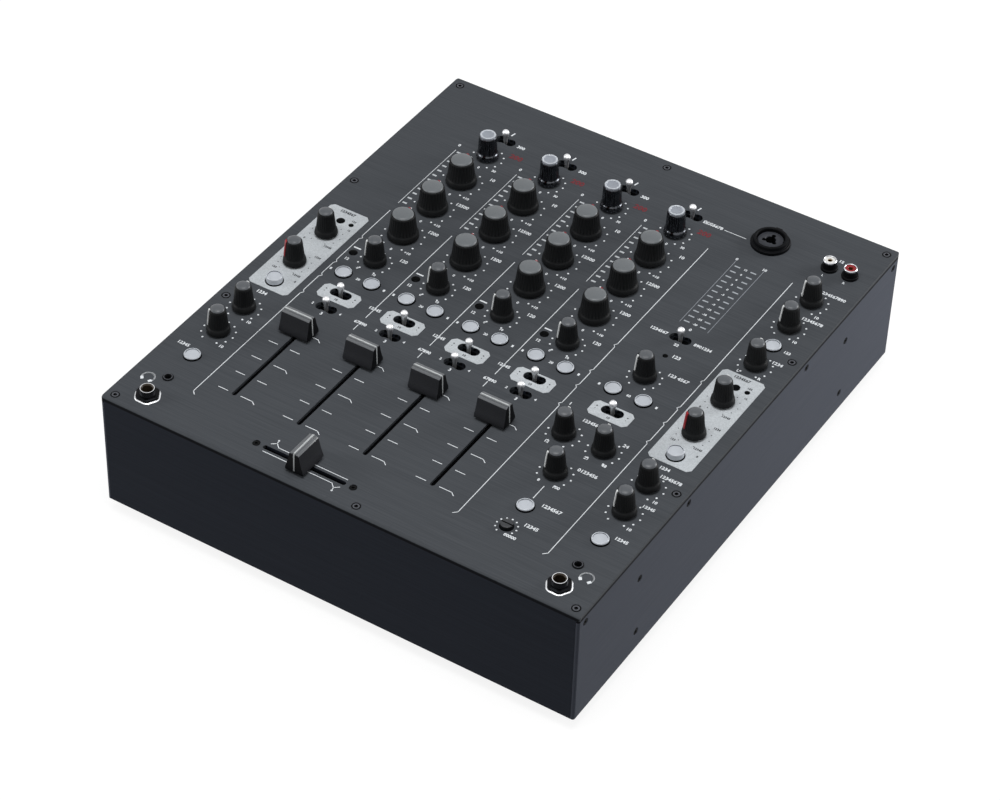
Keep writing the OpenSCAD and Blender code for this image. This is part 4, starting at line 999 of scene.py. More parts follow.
def combo_socket():
    face = combo_h - 1.6
    body = turned("combo_body", [
        (0, -32), (combo_body_r, -32), (combo_body_r, 0), (combo_r, 0), (combo_r, 1.9),
        (combo_r - 0.5, 2.4), (combo_ring_r + 0.15, 2.4), (combo_ring_r, 2.6),
        (combo_ring_r, combo_h - 0.6), (combo_ring_r - 0.25, combo_h - 0.15),
        (combo_ring_r - 0.7, combo_h), (combo_ring_r - 1.6, combo_h),
        (combo_ring_r - 2.0, combo_h - 0.4), (combo_ring_r - 2.0, face - 1.4),
        (combo_ring_r - 3.0, face - 1.4), (combo_ring_r - 3.0, face - 0.2), (combo_ring_r - 3.3, face),
        (jack_bore_r + 0.4, face), (jack_bore_r, face - 0.4), (jack_bore_r, -31), (0, -31),
    ], 64)
    holes = [plug(1.3, face - 12, face + 2, 20) for i in range(3)]
    for hole, degrees in zip(holes, [90, 210, 330]):
        hole.data.transform(turn_about("Z", degrees) @ Matrix.Translation((pin_circle_r * MM, 0, 0)))
    cut_out(body, holes)
    coat(body, socket_black)
    coat(body, socket_grey, lambda p: p.z > face - 0.5 and from_axis(p) < combo_ring_r - 2.5)
    latch = block("latch", (-2.2, combo_ring_r - 1.6, 2.6), (2.2, combo_ring_r + 0.6, combo_h - 0.3), 0.3)
    coat(latch, socket_black)
    return joined("combo_socket", [body, latch])


microphone = moved(combo_socket(), on_panel(combo_x, combo_y))

# %% [markdown]
# A line socket is a black barrel with a bright lip, with a coloured insulator inside it, white for the
# left side and red for the right, and a hollow contact in the middle.

# %% Line sockets
rca_l = 7.0
rca_r = 4.15
rca_flange_r = 5.2
rca_flange_h = 1.8


def rca(length, insulator, plate, body_depth):
    """A line socket on a plate of this thickness, whose body stands this deep behind the plate."""
    inner_r = rca_r - 0.75
    shell = turned("rca_shell", [
        (inner_r, -0.8), (rca_r, -0.8), (rca_r, 0), (rca_flange_r, 0),
        (rca_flange_r, rca_flange_h - 0.3), (rca_flange_r - 0.3, rca_flange_h), (rca_r, rca_flange_h),
        (rca_r, length - 1.3), (rca_r, length - 0.35), (rca_r - 0.3, length), (rca_r - 0.55, length),
        (inner_r, length - 0.2), (inner_r, -0.8),
    ], 40)
    coat(shell, nickel)
    coat(shell, socket_black, lambda p: p.z < length - 1.2)
    core = turned("rca_core", [
        (0, -0.8), (inner_r, -0.8), (inner_r, length - 0.5), (inner_r - 0.2, length - 0.35),
        (1.75, length - 0.35), (1.55, length - 0.5), (1.55, length - 1.2), (1.3, length - 1.2),
        (1.3, length - 7), (0, length - 7),
    ], 40)
    coat(core, insulator)
    coat(core, gilt, lambda p: from_axis(p) < 1.6 and p.z < length - 1.1)
    body = block("rca_body", (-5, -5, -plate - body_depth), (5, 5, -plate), 0.4)
    coat(body, socket_black)
    return joined("rca", [shell, core, body])


line_y = 149.6
rca_pitch = 14.0
line_middle_x = right_x + 0.5
line_sockets = []
for side, insulator in [(-1, white_insulator), (1, red_insulator)]:
    socket = rca(rca_l, insulator, panel_t, board_gap)
    line_sockets.append(moved(socket, on_panel(line_middle_x + side * rca_pitch / 2, line_y)))

sockets = joined("panel_socket_set", [microphone, *line_sockets, *panel_jacks, *mini_jacks])
smooth(sockets, 35)
settle(sockets, "case", "socket_nickel", "panel_sockets")
discard(panel_jack, small_jack)

# %% [markdown]
# ## Screws
# The case is held with countersunk hexagon-socket screws. The head is turned, and the hexagon is cut
# with a six-sided drift. On the panel's screws the coating has worn grey on the rim round the socket.

# %% Countersunk screws
screw_r = 1.5
panel_head_r = 2.9
small_head_r = 2.3
thin_head_h = 1.0
head_h = 1.5
screw_end = -6.0


def socket_screw(name, head_r, depth, worn=False):
    screw = turned(name, [
        (0, screw_end), (screw_r - 0.2, screw_end), (screw_r, screw_end + 0.3), (screw_r, -depth),
        (head_r - 0.08, -0.25), (head_r * 0.76, -0.25), (head_r * 0.7, -0.1), (0, -0.1),
    ], 32)
    cut_out(screw, [plug(head_r * 0.42, -0.7 * depth, 1, 6)])
    coat(screw, black_oxide)
    if worn:
        coat(screw, worn_ring, lambda p: p.z > -0.12)
    smooth(screw, 30)
    return screw


panel_screw = socket_screw("panel_screw", panel_head_r, head_h, worn=True)
small_screw = socket_screw("small_screw", small_head_r, head_h)
thin_screw = socket_screw("thin_screw", small_head_r, thin_head_h)

# %% [markdown]
# The screws' places follow the case: near its corners and along its sides, in the middle of the back
# edge, beside the crossfader, on the side plates, on the rear panel and under the feet.

# %% Setting the screws
edge_x = 154.2
edge_rows = [181.3, 60.6, -74.1, -181.3]
cross_y = -170.0
cross_screws = [(-63.4, cross_y), (2.4, cross_y)]
front_screw_x = 12.2
side_rows = [(y, 81.0) for y in [180.5, 69.3, -69.3, -180.5]]
side_rows += [(y, z) for y in [121.5, -121.5] for z in [65.0, 23.5]]
rear_screws = [(x, z) for x in [-150.0, 150.0] for z in [22.0, 78.0]]
rear_face = 187.5
half_width = (panel_high.x - panel_low.x) / 2 / MM
table_to_panel = panel_middle.z / MM


def beside(side, y, z):
    """A place on a side plate, z above the table, with +Z turned outwards."""
    return on_panel(side * half_width, y, z - table_to_panel), turn_about("Y", side * 90)


def behind(x, z):
    """A place on the rear panel, z above the table, with +Z turned to the back."""
    turn = turn_about("X", -90) @ turn_about("Z", 180)
    return on_panel(x, rear_face, z - table_to_panel), turn


panel_screws = [(side * edge_x, y) for side in [-1, 1] for y in edge_rows]
panel_screws += [(0, edge_rows[0]), (front_screw_x, edge_rows[-1])]
screws = [copied(panel_screw, on_panel(*p)) for p in panel_screws]
screws += [copied(small_screw, on_panel(*p)) for p in cross_screws]
screws += [copied(small_screw, *beside(side, y, z)) for side in [-1, 1] for y, z in side_rows]
screws += [copied(thin_screw, *behind(x, z)) for x, z in rear_screws]

# %% [markdown]
# The feet are moulded rubber with a hollow for a pan-head screw. The rim that stands on the table is
# rounded, because a sharp rubber edge would soon crumble.

# %% Feet and their screws
foot_r = 11.0
foot_h = 10.0
foot_hollow_r = 5.0
foot_pad_t = 4.0
foot_places = [(x, y) for x in [-130.0, 130.0] for y in [-157.5, 157.5]]

foot = turned("foot", [
    (screw_r + 0.1, foot_h - foot_pad_t), (foot_hollow_r, foot_h - foot_pad_t), (foot_hollow_r, 0.4),
    (foot_hollow_r + 0.4, 0), (foot_r - 1.8, 0), (foot_r - 1.35, 0.15), (foot_r - 1.1, 0.5),
    (foot_r - 0.05, 2.9), (foot_r, 3.3), (foot_r, foot_h), (screw_r + 0.1, foot_h),
    (screw_r + 0.1, foot_h - foot_pad_t),
], 48)
coat(foot, rubber)
smooth(foot)
pan_h = 1.6
foot_screw = turned("foot_screw", [
    (0, -pan_h), (2.2, -pan_h), (2.8, -pan_h + 0.35), (3.0, -0.3), (3.0, 0), (screw_r, 0),
    (screw_r, foot_pad_t + 3), (0, foot_pad_t + 3),
], 32)
cut_out(foot_screw, [plug(1.05, -3, -pan_h + 1, 6)])
coat(foot_screw, blackened)
smooth(foot_screw)

feet = [copied(foot, on_panel(x, y, -table_to_panel)) for x, y in foot_places]
settle(joined("moulded_feet", feet), "case", "foot_rubber", "rubber_feet")
pad_z = foot_h - foot_pad_t - table_to_panel
screws += [copied(foot_screw, on_panel(x, y, pad_z)) for x, y in foot_places]
settle(joined("screw_set", screws), "case", "black_steel", "case_screws")
discard(panel_screw, small_screw, thin_screw, foot_screw, foot)
print(len(screws), "screws set")

# %% [markdown]
# ## Sockets on the rear panel
# The back carries the line sockets in pairs, four jacks, two XLR outputs, earth posts and the mains
# inlet. They are the panel's own sockets again, turned to face the back.

# %% Rear line sockets, jacks and earth posts
post_flutes = 24
wall_t = 1.2
rear_low_z, rear_high_z = 34.0, 60.0
rca_columns = [-132.0, -99.0, -66.0, -33.0, 0.0]
jack_columns = [24.0, 43.0]
post_columns = [-115.5, -82.5, -49.5]
post_z = 22.0
rear_body_depth = 12.0
rear_rca_l = 8.5

rear_pieces = []
for side, insulator in [(-1, red_insulator), (1, white_insulator)]:
    socket = rca(rear_rca_l, insulator, wall_t, rear_body_depth)
    for column in rca_columns:
        for z in [rear_low_z, rear_high_z]:
            rear_pieces.append(copied(socket, *behind(column + side * rca_pitch / 2, z)))
    discard(socket)

rear_jack = jack(wall_t, depth=24.0)
rear_pieces += [copied(rear_jack, *behind(x, z)) for x in jack_columns for z in [rear_low_z, rear_high_z]]
discard(rear_jack)

post = turned("earth_post", [
    (0, -4.2), (2.5, -4.2), (2.5, 0), (3.7, 0), (3.7, 0.8), (2.6, 1.0), (3.5, 1.2), (3.7, 1.5),
    (3.7, 5.1), (3.4, 5.5), (2.5, 5.5), (2.5, 6.6), (2.1, 7.0), (0, 7.0),
], post_flutes)


def in_a_flute(p):
    column = round(math.atan2(p.y, p.x) / math.tau * post_flutes)
    return 1.3 < p.z < 5.3 and column % 2 == 0


edit(post)
choose(post, "VERT", in_a_flute)
bpy.ops.transform.resize(value=(0.93, 0.93, 1), center_override=(0, 0, 0))
finish_edit()
coat(post, nickel)
rear_pieces += [copied(post, *behind(x, post_z)) for x in post_columns]
discard(post)

# %% [markdown]
# An XLR output is a die-cast cup with a square-shouldered flange and three pins at its bottom. The
# mains inlet is a rectangular cup with three blades; the rocker above it sits in its own frame.

# %% XLR outputs, mains inlet and rocker frame
xlr_columns = [66.0, 93.0]
xlr_z = 47.0
mains_x = 123.0
inlet_z = 38.0
rocker_z = 67.0
inlet_w, inlet_h, inlet_depth = 27.0, 20.0, 24.0
rocker_w, rocker_l = 19.0, 13.0
xlr_pin_circle_r = 4.8


def xlr_output():
    cup = turned("xlr_cup", [
        (0, -18), (10.5, -18), (10.5, 0), (12, 0), (12, 1.2), (11.6, 1.6), (9.6, 1.6), (9.3, 1.3),
        (9.3, -13), (0, -13),
    ], 64)
    coat(cup, nickel)
    coat(cup, socket_black, lambda p: -13.1 < p.z < -12.9 and from_axis(p) < 9.4)
    pins = []
    for degrees in [30, 150, 270]:
        pin = turned("pin", [(0, -14), (1.2, -14), (1.2, -3), (0.8, -2.2), (0, -2)], 16)
        outwards = Matrix.Translation((xlr_pin_circle_r * MM, 0, 0))
        pin.data.transform(turn_about("Z", degrees) @ outwards)
        coat(pin, gilt)
        pins.append(pin)
    return joined("xlr_output", [cup, *pins])


def cup_in_frame(name, width, height, depth, wall, lip, cup_depth):
    """A box with a bevelled lip round its mouth, hollowed from the front."""
    x, y = width / 2, height / 2
    box = block(name, (-x, -y, -depth), (x, y, 0.4), 0.3)
    rim = block("rim", (-x - lip, -y - lip, 0), (x + lip, y + lip, 1.4), 0.4)
    apply_modifier(box, "BOOLEAN", object=rim, operation="UNION", solver="EXACT")
    discard(rim)
    cut_out(box, [block("hollow", (wall - x, wall - y, -cup_depth), (x - wall, y - wall, 3))])
    coat(box, socket_black)
    return box


xlr = xlr_output()
rear_pieces += [copied(xlr, *behind(x, xlr_z)) for x in xlr_columns]
discard(xlr)

inlet = cup_in_frame("mains_inlet", inlet_w, inlet_h, inlet_depth, 2.0, 1.5, 16.0)
blades = []
for x, y in [(-6, -2), (6, -2), (0, 3)]:
    blade = block("blade", (x - 1, y - 2, -17), (x + 1, y + 2, -4), 0.3)
    coat(blade, nickel)
    blades.append(blade)
inlet = joined("mains_inlet", [inlet, *blades])
rocker_frame = cup_in_frame("rocker_frame", rocker_w, rocker_l, 14.0, 1.6, 1.2, 12.4)
rear_pieces.append(copied(inlet, *behind(mains_x, inlet_z)))
rear_pieces.append(copied(rocker_frame, *behind(mains_x, rocker_z)))
discard(inlet, rocker_frame)

rear_set = joined("rear_socket_set", rear_pieces)
smooth(rear_set, 35)
settle(rear_set, "case", "socket_nickel", "rear_sockets")

# %% [markdown]
# ## Printing
# Ink lies a few hundredths of a millimetre proud of the steel. Each mark is a thin closed slab, so
# that it is a real layer from any side. Lines, ticks and dots are scaled copies of one slab and one
# disc; numbers are Blender's own text turned into a mesh.

# %% Slab, disc and number
ink_t = 0.06
slab = block("slab", (-0.5, -0.5, 0), (0.5, 0.5, ink_t))
disc = turned("disc", [(0, 0), (0.5, 0), (0.5, ink_t), (0, ink_t)], 12)


def bar(x, y, w, h, lean=0.0, lift=0.0):
    """A printed bar w by h mm, its middle at x, y, leaned by an angle in degrees."""
    return copied(slab, on_panel(x, y, lift), turn_about("Z", lean) @ Matrix.Diagonal((w, h, 1, 1)))


def stroke(points, w):
    """A printed line through several points."""
    bars = []
    for (x0, y0), (x1, y1) in zip(points, points[1:]):
        length = math.hypot(x1 - x0, y1 - y0)
        lean = math.degrees(math.atan2(y1 - y0, x1 - x0))
        bars.append(bar((x0 + x1) / 2, (y0 + y1) / 2, length + w * 0.6, w, lean))
    return bars


def dot(x, y, size, lift=0.0):
    return copied(disc, on_panel(x, y, lift), Matrix.Diagonal((size, size, 1, 1)))


number_masters = {}


def number(text, x, y, height, lift=0.0):
    """A printed number, its middle at x, y."""
    if (text, height) not in number_masters:
        bpy.ops.object.text_add()
        letters = bpy.context.object
        letters.data.body = text
        letters.data.size = height * 1.4 * MM
        letters.data.align_x = "CENTER"
        letters.data.align_y = "CENTER"
        letters.data.offset = 0.045 * height * MM
        letters.data.resolution_u = 2
        letters.data.extrude = ink_t / 2 * MM
        bpy.ops.object.convert(target="MESH")
        number_masters[text, height] = bpy.context.object
    return copied(number_masters[text, height], on_panel(x, y, lift + ink_t / 2))


def print_layer(name, marks, ink):
    layer = joined(name, marks)
    coat(layer, ink)
    settle(layer, "case", "panel_enamel")
    print(name, "has", len(marks), "marks")


# %% [markdown]
# The panel is divided into columns by long thin lines. Between the channels they stop above the
# faders; the outer ones run to the front and have small notches where a group of controls ends.

# %% Lines between the columns
line_w = 0.46
fine_line_w = 0.34
outer_divider = channel_x[0] - 20.8
channel_dividers = [outer_divider + 45.1 * i for i in range(1, 4)]
right_dividers = [effects_x - 28.3, effects_x + 30.0]
notch_rows = [16.0, -11.5, -27.0, -46.0]
front_end = -154.0

marks = []


def notched(x, top, side):
    """A line from its top to the front, with small notches and a hooked end."""
    points = [(x, top)]
    for y in notch_rows:
        points += [(x, y + 1.6), (x + side * 1.3, y), (x, y - 1.6)]
    points += [(x, front_end), (x + side * 2.2, front_end - 2.2)]
    return stroke(points, line_w)


marks += notched(outer_divider, 48.0, 1)
marks += notched(right_dividers[0], 125.0, -1)
marks += notched(right_dividers[1], 125.0, -1)
for x in channel_dividers:
    marks += stroke([(x, 48.0), (x, -45.0)], line_w)
    marks += stroke([(x, -53.0), (x, -58.0)], line_w)
for x in [outer_divider, *channel_dividers]:
    marks += stroke([(x, 122.0), (x, 57.0)], fine_line_w)

# %% [markdown]
# Every knob stands in a ring of eleven dots, thirty degrees apart, with a number at either end of its
# travel. Only the knobs on the silver plates have dark rings instead of pale ones.

# %% Dot rings
small_ring_r = 10.2
wide_ring_r = 13.1


def dot_ring(x, y, radius, size=1.25, lift=0.0):
    return [
        dot(x + radius * math.sin(math.radians(a)), y + radius * math.cos(math.radians(a)), size, lift)
        for a in range(-150, 151, 30)
    ]


for control in knobs:
    if "filter" not in control:
        wide = control.endswith(("high", "mid", "low"))
        marks += dot_ring(*place_of(f"{control}_knob"), wide_ring_r if wide else small_ring_r)

# %% [markdown]
# The numbers follow the kind of control: a gain or equaliser knob has its lowest and highest value at
# the two ends of its ring and its middle below, and a bigger number for its band beside it. Each
# number and bar is given by its place from the middle of its channel.

# %% Numbers round the channel knobs
small_number = 2.0
band_number = 2.6
gain_y, send_y = place_of("channel_1_gain_knob")[1], place_of("channel_1_send_knob")[1]

channel_numbers = [
    ("30", 10.7, gain_y - 9.6, small_number), ("0", 0.7, gain_y - 11.6, small_number),
    ("10", 15.0, gain_y - 17.9, band_number),
]
for control, band in [("high", "12500"), ("mid", "1200"), ("low", "120")]:
    y = place_of(f"channel_1_{control}_knob")[1]
    channel_numbers += [
        ("+10", 11.2, y - 12.2, small_number), ("-30", -10.6, y - 12.2, small_number),
        ("0", 0.7, y - 14.2, small_number), (band, 13.7, y - 20.0, band_number),
    ]
channel_numbers += [
    ("0", -5.9, send_y - 10.2, 1.8), ("10", 5.9, send_y - 10.2, 1.8), ("12", -16.4, -5.6, 2.2),
    ("20", 0.5, pair_y - 0.3, 1.9), ("2", -9.4, lower_toggle_y - 0.4, 1.9),
    ("4", 10.2, lower_toggle_y - 0.4, 1.9), ("3", 0.4, lower_toggle_y - 5.8, 2.4),
    ("300", 12.0, selector_y - 0.8, band_number), ("0", -21.5, 127.4, 2.4),
]
channel_bars = [
    (-16.5, 6.2, 5.0, 1.1), (-19.0, pair_y - 0.4, 1.3, 1.9), (19.3, pair_y - 0.4, 1.3, 1.9),
    (0.6, selector_y + 8.2, 0.9, 3.6, -12),
]
for x in channel_x:
    marks += [number(value, x + dx, y, height) for value, dx, y, height in channel_numbers]
    marks += [bar(x + dx, y, *form) for dx, y, *form in channel_bars]
for x in channel_dividers:
    for value, y in [("12345", plate_toggle_y), ("67890", lower_toggle_y)]:
        marks.append(number(value, x + 0.2, y - 0.2, 2.4))

# %% [markdown]
# Each fader has five ticks on either side of its slot; every second one on the right is longer and
# bends down at its end. The crossfader has a line on either side of its slot, and a small fork at
# each end that shows which way it fades.

# %% Fader scales
tick_rows = [(-77.3, True), (-93.8, False), (-110.3, True), (-126.5, False), (-142.8, True)]
tick_w = 0.46

for x in channel_x:
    for y, long in tick_rows:
        marks += stroke([(x - (11.2 if long else 10.8), y), (x - 4.6, y)], tick_w)
        end = x + (12.6 if long else 10.8)
        points = [(x + 4.4, y), (end, y)]
        marks += stroke(points + ([(end + 2.3, y - 1.9)] if long else []), tick_w)

cross_x = place_of("crossfader")[0]
line_gap = 3.5
for side, end, fork in [(1, cross_x + 27.0, -53.2), (-1, cross_x - 26.0, -6.6)]:
    line_y = cross_y + side * line_gap
    marks += stroke([(end, line_y), (fork + side * 2.8, line_y), (fork, line_y + side * 2.6)], tick_w)
    marks += stroke([(fork - side * 2.8, line_y + side * 0.4), (fork, line_y + side * 2.6)], tick_w)
    marks += stroke([(fork, line_y + side * 2.6), (fork - side * 0.5, line_y + side * 4.8)], tick_w)
    marks.append(dot(fork - side * 0.5, line_y + side * 5.0, 1.3))

# %% [markdown]
# The effects column and the right column carry wider labels. They are plain numbers here, as long
# as the labels they stand for.

# %% Numbers in the effects and right columns
long_labels = [
    ("12345678", 52.6, 146.6, 2.5), ("0", 81.0, 126.0, 2.2),
    ("10", 100.0, 126.0, 2.2), ("0", 90.5, 52.5, 2.3), ("1234567", 75.2, 42.2, 2.4),
    ("8901234", 104.8, 42.2, 2.4), ("22", 90.5, 36.0, 2.2), ("123", 96.2, 26.2, 2.7),
    ("123 4567", 106.5, 10.6, 2.6), ("60", 90.2, -18.3, 1.9), ("123456", 84.0, -50.6, 2.4),
    ("24", 111.0, -56.4, 2.6), ("1", 66.0, -42.6, 2.4), ("12", 71.3, -77.4, 2.2),
    ("21", 97.5, -77.2, 2.2),
    ("48", 109.0, -77.2, 2.2), ("0123456", 104.7, -87.8, 2.6), ("0", 84.5, -107.2, 2.2),
    ("100", 96.0, -107.4, 2.2), ("1234567", 103.2, -123.8, 2.6), ("12345", 101.5, -142.2, 2.6),
    ("00000", 95.5, -154.8, 2.2), ("1234567890", 145.8, 127.0, 2.5), ("10", 147.0, 104.0, 2.2),
    ("12345678", 146.8, 99.2, 2.5), ("10", 146.8, 77.0, 2.2), ("123", 148.0, 66.0, 2.2),
    ("1234", 148.0, 54.0, 2.5), ("L", 131.5, 36.5, 2.2), ("R", 145.5, 36.5, 2.2),
    ("L", 131.2, 141.6, 1.8), ("R", 145.2, 141.9, 1.8), ("12", 134.8, 159.4, 2.4),
    ("1234", 138.5, -60.3, 2.4), ("12345678", 146.2, -66.6, 2.5), ("10", 147.8, -87.2, 2.2),
    ("12345", 147.4, -93.2, 2.3), ("10", 146.8, -113.7, 2.2), ("12345", 148.0, -123.6, 2.4),
    ("1234", -138.2, -60.2, 2.6), ("10", -128.5, -87.2, 2.2), ("10", -129.0, -113.7, 2.2),
    ("12345", -148.6, -123.6, 2.4),
]
marks += [number(text, x, y, height) for text, x, y, height in long_labels]
marks += [bar(effects_x + side * 19.1, pair_y - 0.4, 1.3, 1.9) for side in [-1, 1]]
marks += stroke([(effects_x + 0.2, -110.0), (effects_x + 0.2, -121.5)], line_w)
marks += stroke([(61.0, 146.4), (76.0, 146.4)], line_w)
marks += dot_ring(effects_x, -148.7, radius=6.3, size=1.1)

# %% [markdown]
# Beside each headphone jack a plain headband is printed: an arc open at the front with two ear pads.

# %% Headphone signs
band_r = 3.9
band_w = 0.9
pad_r = 3.6
pad_l = 2.4
pad_w = 1.8
pad_lift = 0.02


def headband(x, y):
    angles = [math.radians(a) for a in range(-48, 229, 12)]
    band = stroke([(x + band_r * math.cos(a), y + band_r * math.sin(a)) for a in angles], band_w)
    pads = []
    for lean in [-38, 218]:
        a = math.radians(lean)
        place = x + pad_r * math.cos(a), y + pad_r * math.sin(a)
        pads.append(bar(*place, pad_l, pad_w, lean + 90, pad_lift))
    return band + pads


marks += headband(-147.7, -158.8) + headband(147.2, -158.8)
print_layer("white_print", marks, white_ink)

# %% [markdown]
# A dull red number stands beside each gain knob. The silver plates are thicker ink on the steel: one
# small plate behind each middle toggle, and a tall one on either side for the filter controls. Their
# corners are cut off, and they are open where a lever, shaft or button comes through.

# %% Red numbers
print_layer("red_print", [number("200", x + 15.0, 136.2, 4.2) for x in channel_x], red_ink)

# %% Silver plates
plate_t = 0.25
small_plate = (26.6, 13.0)
tall_plate = (28.2, 89.8)
small_plate_y = -37.4
tall_plate_y = -11.0
filter_rows = [6.7, -26.5]


def chamfered_plate(name, size, corner):
    w, h = size
    plate = block(name, (-w / 2, -h / 2, 0), (w / 2, h / 2, plate_t))
    edit(plate)
    choose(plate, "EDGE", lambda p: abs(abs(p.x) - w / 2) < 0.01 and abs(abs(p.y) - h / 2) < 0.01)
    bpy.ops.mesh.bevel(offset=corner * MM, segments=1)
    finish_edit()
    return plate


def round_cutter(x, y, radius):
    return moved(plug(radius, -1, 1, 40), Vector((x, y, 0)) * MM)


slot_half = 3.7
slot_r = 3.5
waist_half = 3.4
slot_y = plate_toggle_y - small_plate_y
small = chamfered_plate("small_plate", small_plate, 2.4)
cutters = [round_cutter(side * slot_half, slot_y, slot_r) for side in [-1, 1]]
cutters.append(block("waist", (-slot_half, slot_y - waist_half, -1), (slot_half, slot_y + waist_half, 1)))
cut_out(small, cutters)
plates = [copied(small, on_panel(x, small_plate_y)) for x in columns]
discard(small)

shaft_hole_r, button_hole_r = 4.6, 5.7
tall_holes = [(y, shaft_hole_r) for y in filter_rows] + [(filter_button_y, button_hole_r)]
for x in [left_x, right_x]:
    tall = chamfered_plate("tall_plate", tall_plate, 2.2)
    cut_out(tall, [round_cutter(0, y - tall_plate_y, radius) for y, radius in tall_holes])
    plates.append(moved(tall, on_panel(x, tall_plate_y)))
print_layer("silver_plates", plates, silver_ink)

# %% [markdown]
# Black ink on the plates: rings of fine dots, short rows of figures and a tick by the raised button.

# %% Black print on the plates
plate_numbers = [
    ("1234567", -0.5, 30.8, 2.2), ("123", 7.5, 25.6, 1.5), ("12", 9.6, 16.8, 1.5),
    ("12345", 8.0, -3.6, 1.6), ("0", -9.0, -3.6, 1.6), ("1234", 8.8, -15.2, 1.6),
    ("12345", 8.0, -36.2, 1.6), ("123", -8.0, -36.4, 1.6), ("8", 10.8, -41.6, 1.5),
]
plate_dot_x = 10.2
dark_marks = []
for x in columns:
    for side in [-1, 1]:
        for drop, size in [(0, 1.0), (2.4, 0.6)]:
            dark_marks.append(dot(x + side * plate_dot_x, plate_toggle_y - drop, size, plate_t))
    dark_marks.append(number("10", x + 0.4, -41.6, 1.7, plate_t))
for x in [left_x, right_x]:
    for y in filter_rows:
        dark_marks += dot_ring(x, y, radius=10.0, size=0.7, lift=plate_t)
    dark_marks += [number(value, x + dx, y, height, plate_t) for value, dx, y, height in plate_numbers]
    dark_marks.append(bar(x - 2.2, -40.2, 4.0, 1.0, 0, plate_t))
print_layer("black_print", dark_marks, black_ink)

# %% [markdown]
# The level meters are rows of small acrylic windows, unlit. A channel has one row of twelve; the master
# meter has two rows with the levels in decibels between them and a fine frame round it.

# %% Level meter windows
meter_pitch = 5.58
meter_low = 58.3
meter_rows = [meter_low + i * meter_pitch for i in range(12)]
decibels = ["-30", "-24", "-18", "-12", "-9", "-6", "-3", "0", "3", "6", "9", "12"]
channel_windows = [bar(x - 17.6, y + 1.0, 3.0, 1.3) for x in channel_x for y in meter_rows]
master_windows = [bar(effects_x + side, y, 3.8, 1.0) for side in [-4.9, 6.1] for y in meter_rows]
print_layer("channel_meter_windows", channel_windows, pale_window)
print_layer("master_meter_windows", master_windows, lamp_window)

levels = [number(level, effects_x + 0.7, y, 1.6) for level, y in zip(decibels, meter_rows)]
print_layer("meter_levels", levels, white_ink)
frame_lines = [line for x in [81.3, 100.3] for line in stroke([(x, 124.5), (x, 56.0)], fine_line_w)]
print_layer("meter_frame", frame_lines, fine_ink)

# %% [markdown]
# Signal lamps are small round lenses that stand just proud of the steel. Unlit, they are dark.

# %% Signal lamps
def lamp(radius, height):
    piece = turned("lamp", [
        (0, 0), (radius + 0.35, 0), (radius + 0.35, 0.15), (radius + 0.05, 0.25), (radius, 0.2),
        (radius, height * 0.4), (radius * 0.8, height * 0.8), (radius * 0.4, height), (0, height),
    ], 28)
    smooth(piece, 50)
    return piece


big_lamp = lamp(2.4, 0.7)
small_lamp = lamp(1.3, 0.6)
lamps = [copied(big_lamp, on_panel(x - 16.2, 1.2)) for x in channel_x]
lamps += [copied(big_lamp, on_panel(x, 22.2, plate_t)) for x in [left_x, right_x]]
lamps += [copied(small_lamp, on_panel(x + 7.8, 22.0, plate_t)) for x in [left_x, right_x]]
lamps += [copied(small_lamp, on_panel(effects_x + 0.3, 24.1))]
lamp_set = joined("signal_lamps", lamps)
coat(lamp_set, lamp_dark)
settle(lamp_set, "case", "panel_enamel")

discard(big_lamp, small_lamp, slab, disc, *number_masters.values())

# %% [markdown]
# ## Floor and light
# The mixer stands on a white floor. A large soft lamp hangs overhead and a little to the front, a low
# one lights the right side from behind, a weak one comes from the front left, and a dim world fills
# the rest. To the camera and in reflections floor and world are white; to the object they give only
# a little light, so the front stays in shade, and the floor keeps the object's shadow.

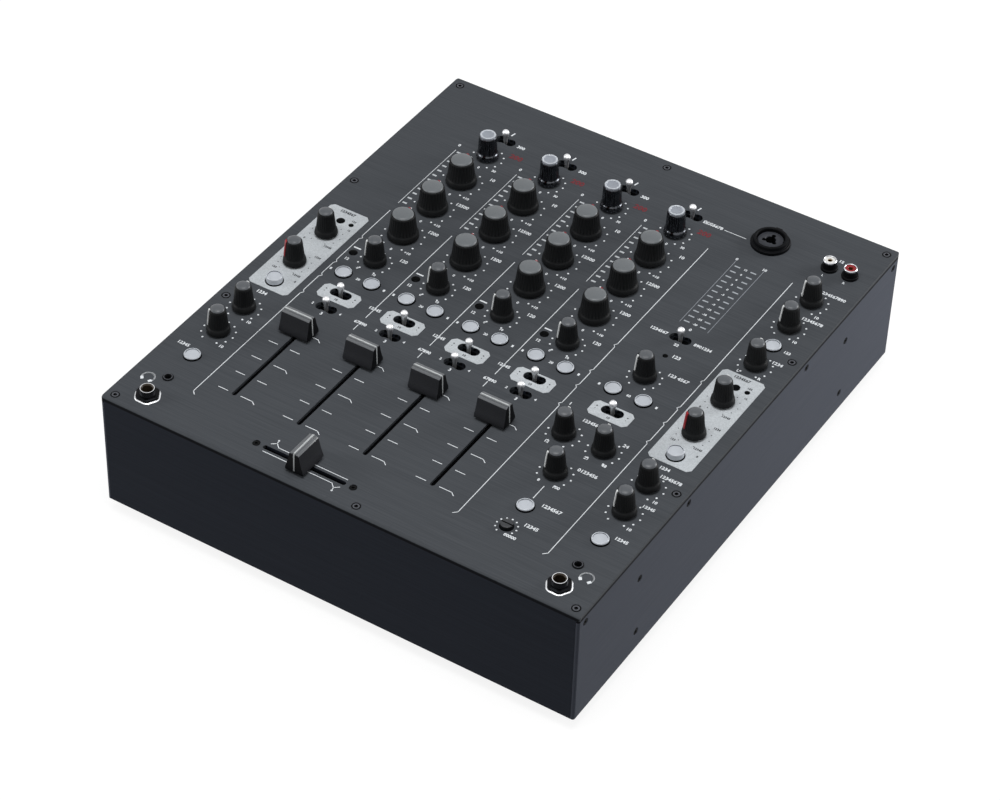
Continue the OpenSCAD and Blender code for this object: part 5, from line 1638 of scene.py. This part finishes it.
# %% Floor
def seen_directly(tree):
    """One for rays from the camera, in a mirror or through glass, and nothing for other light."""
    path = add_node(tree, "ShaderNodeLightPath", {})
    seen = path.outputs["Is Camera Ray"]
    for kind in ["Is Glossy Ray", "Is Transmission Ray"]:
        seen = maximum(tree, seen, path.outputs[kind])
    return seen


def floor_finish():
    material, tree, shader = new_material("white_floor", roughness=0.8)
    shader.inputs["Base Color"].default_value = linear("#707070")
    whiteness = 0.86
    share = add_node(
        tree, "ShaderNodeMath", {0: seen_directly(tree), 1: whiteness}, operation="MULTIPLY"
    )
    white = add_node(tree, "ShaderNodeEmission", {"Strength": share.outputs[0]})
    both = add_node(tree, "ShaderNodeAddShader", {0: shader.outputs[0], 1: white.outputs[0]})
    tree.links.new(both.outputs[0], tree.nodes["Material Output"].inputs["Surface"])
    return material


bpy.ops.mesh.primitive_plane_add(size=12)
floor = bpy.context.object
floor.name = "studio_floor"
floor.data.materials.append(floor_finish())

# %% Lamps and world
def soft_lamp(name, place, aim, size, power):
    data = bpy.data.lights.new(name, "AREA")
    data.shape = "SQUARE"
    data.size = size
    data.energy = power
    lamp_object = bpy.data.objects.new(name, data)
    bpy.context.collection.objects.link(lamp_object)
    aimed = (Vector(place) - Vector(aim)).to_track_quat("Z", "Y").to_matrix().to_4x4()
    lamp_object.matrix_world = Matrix.Translation(place) @ aimed


soft_lamp("overhead_lamp", (0.1, -0.3, 1.45), (0, 0, 0.08), 0.9, 16.5)
soft_lamp("right_lamp", (0.75, 0.9, 0.33), (0.1, 0.1, 0.05), 0.5, 9)
soft_lamp("left_lamp", (-1.2, -0.7, 0.5), (-0.1, -0.15, 0.05), 0.6, 6)

world = bpy.data.worlds.new("studio")
bpy.context.scene.world = world
world.use_nodes = True
tree = world.node_tree
background = tree.nodes["Background"]
strength = add_node(tree, "ShaderNodeMapRange", {
    "Value": seen_directly(tree), "To Min": 0.15, "To Max": 1.0
})
tree.links.new(strength.outputs["Result"], background.inputs["Strength"])
background.inputs["Color"].default_value = (1, 1, 1, 1)
bpy.context.scene.view_settings.view_transform = "Standard"
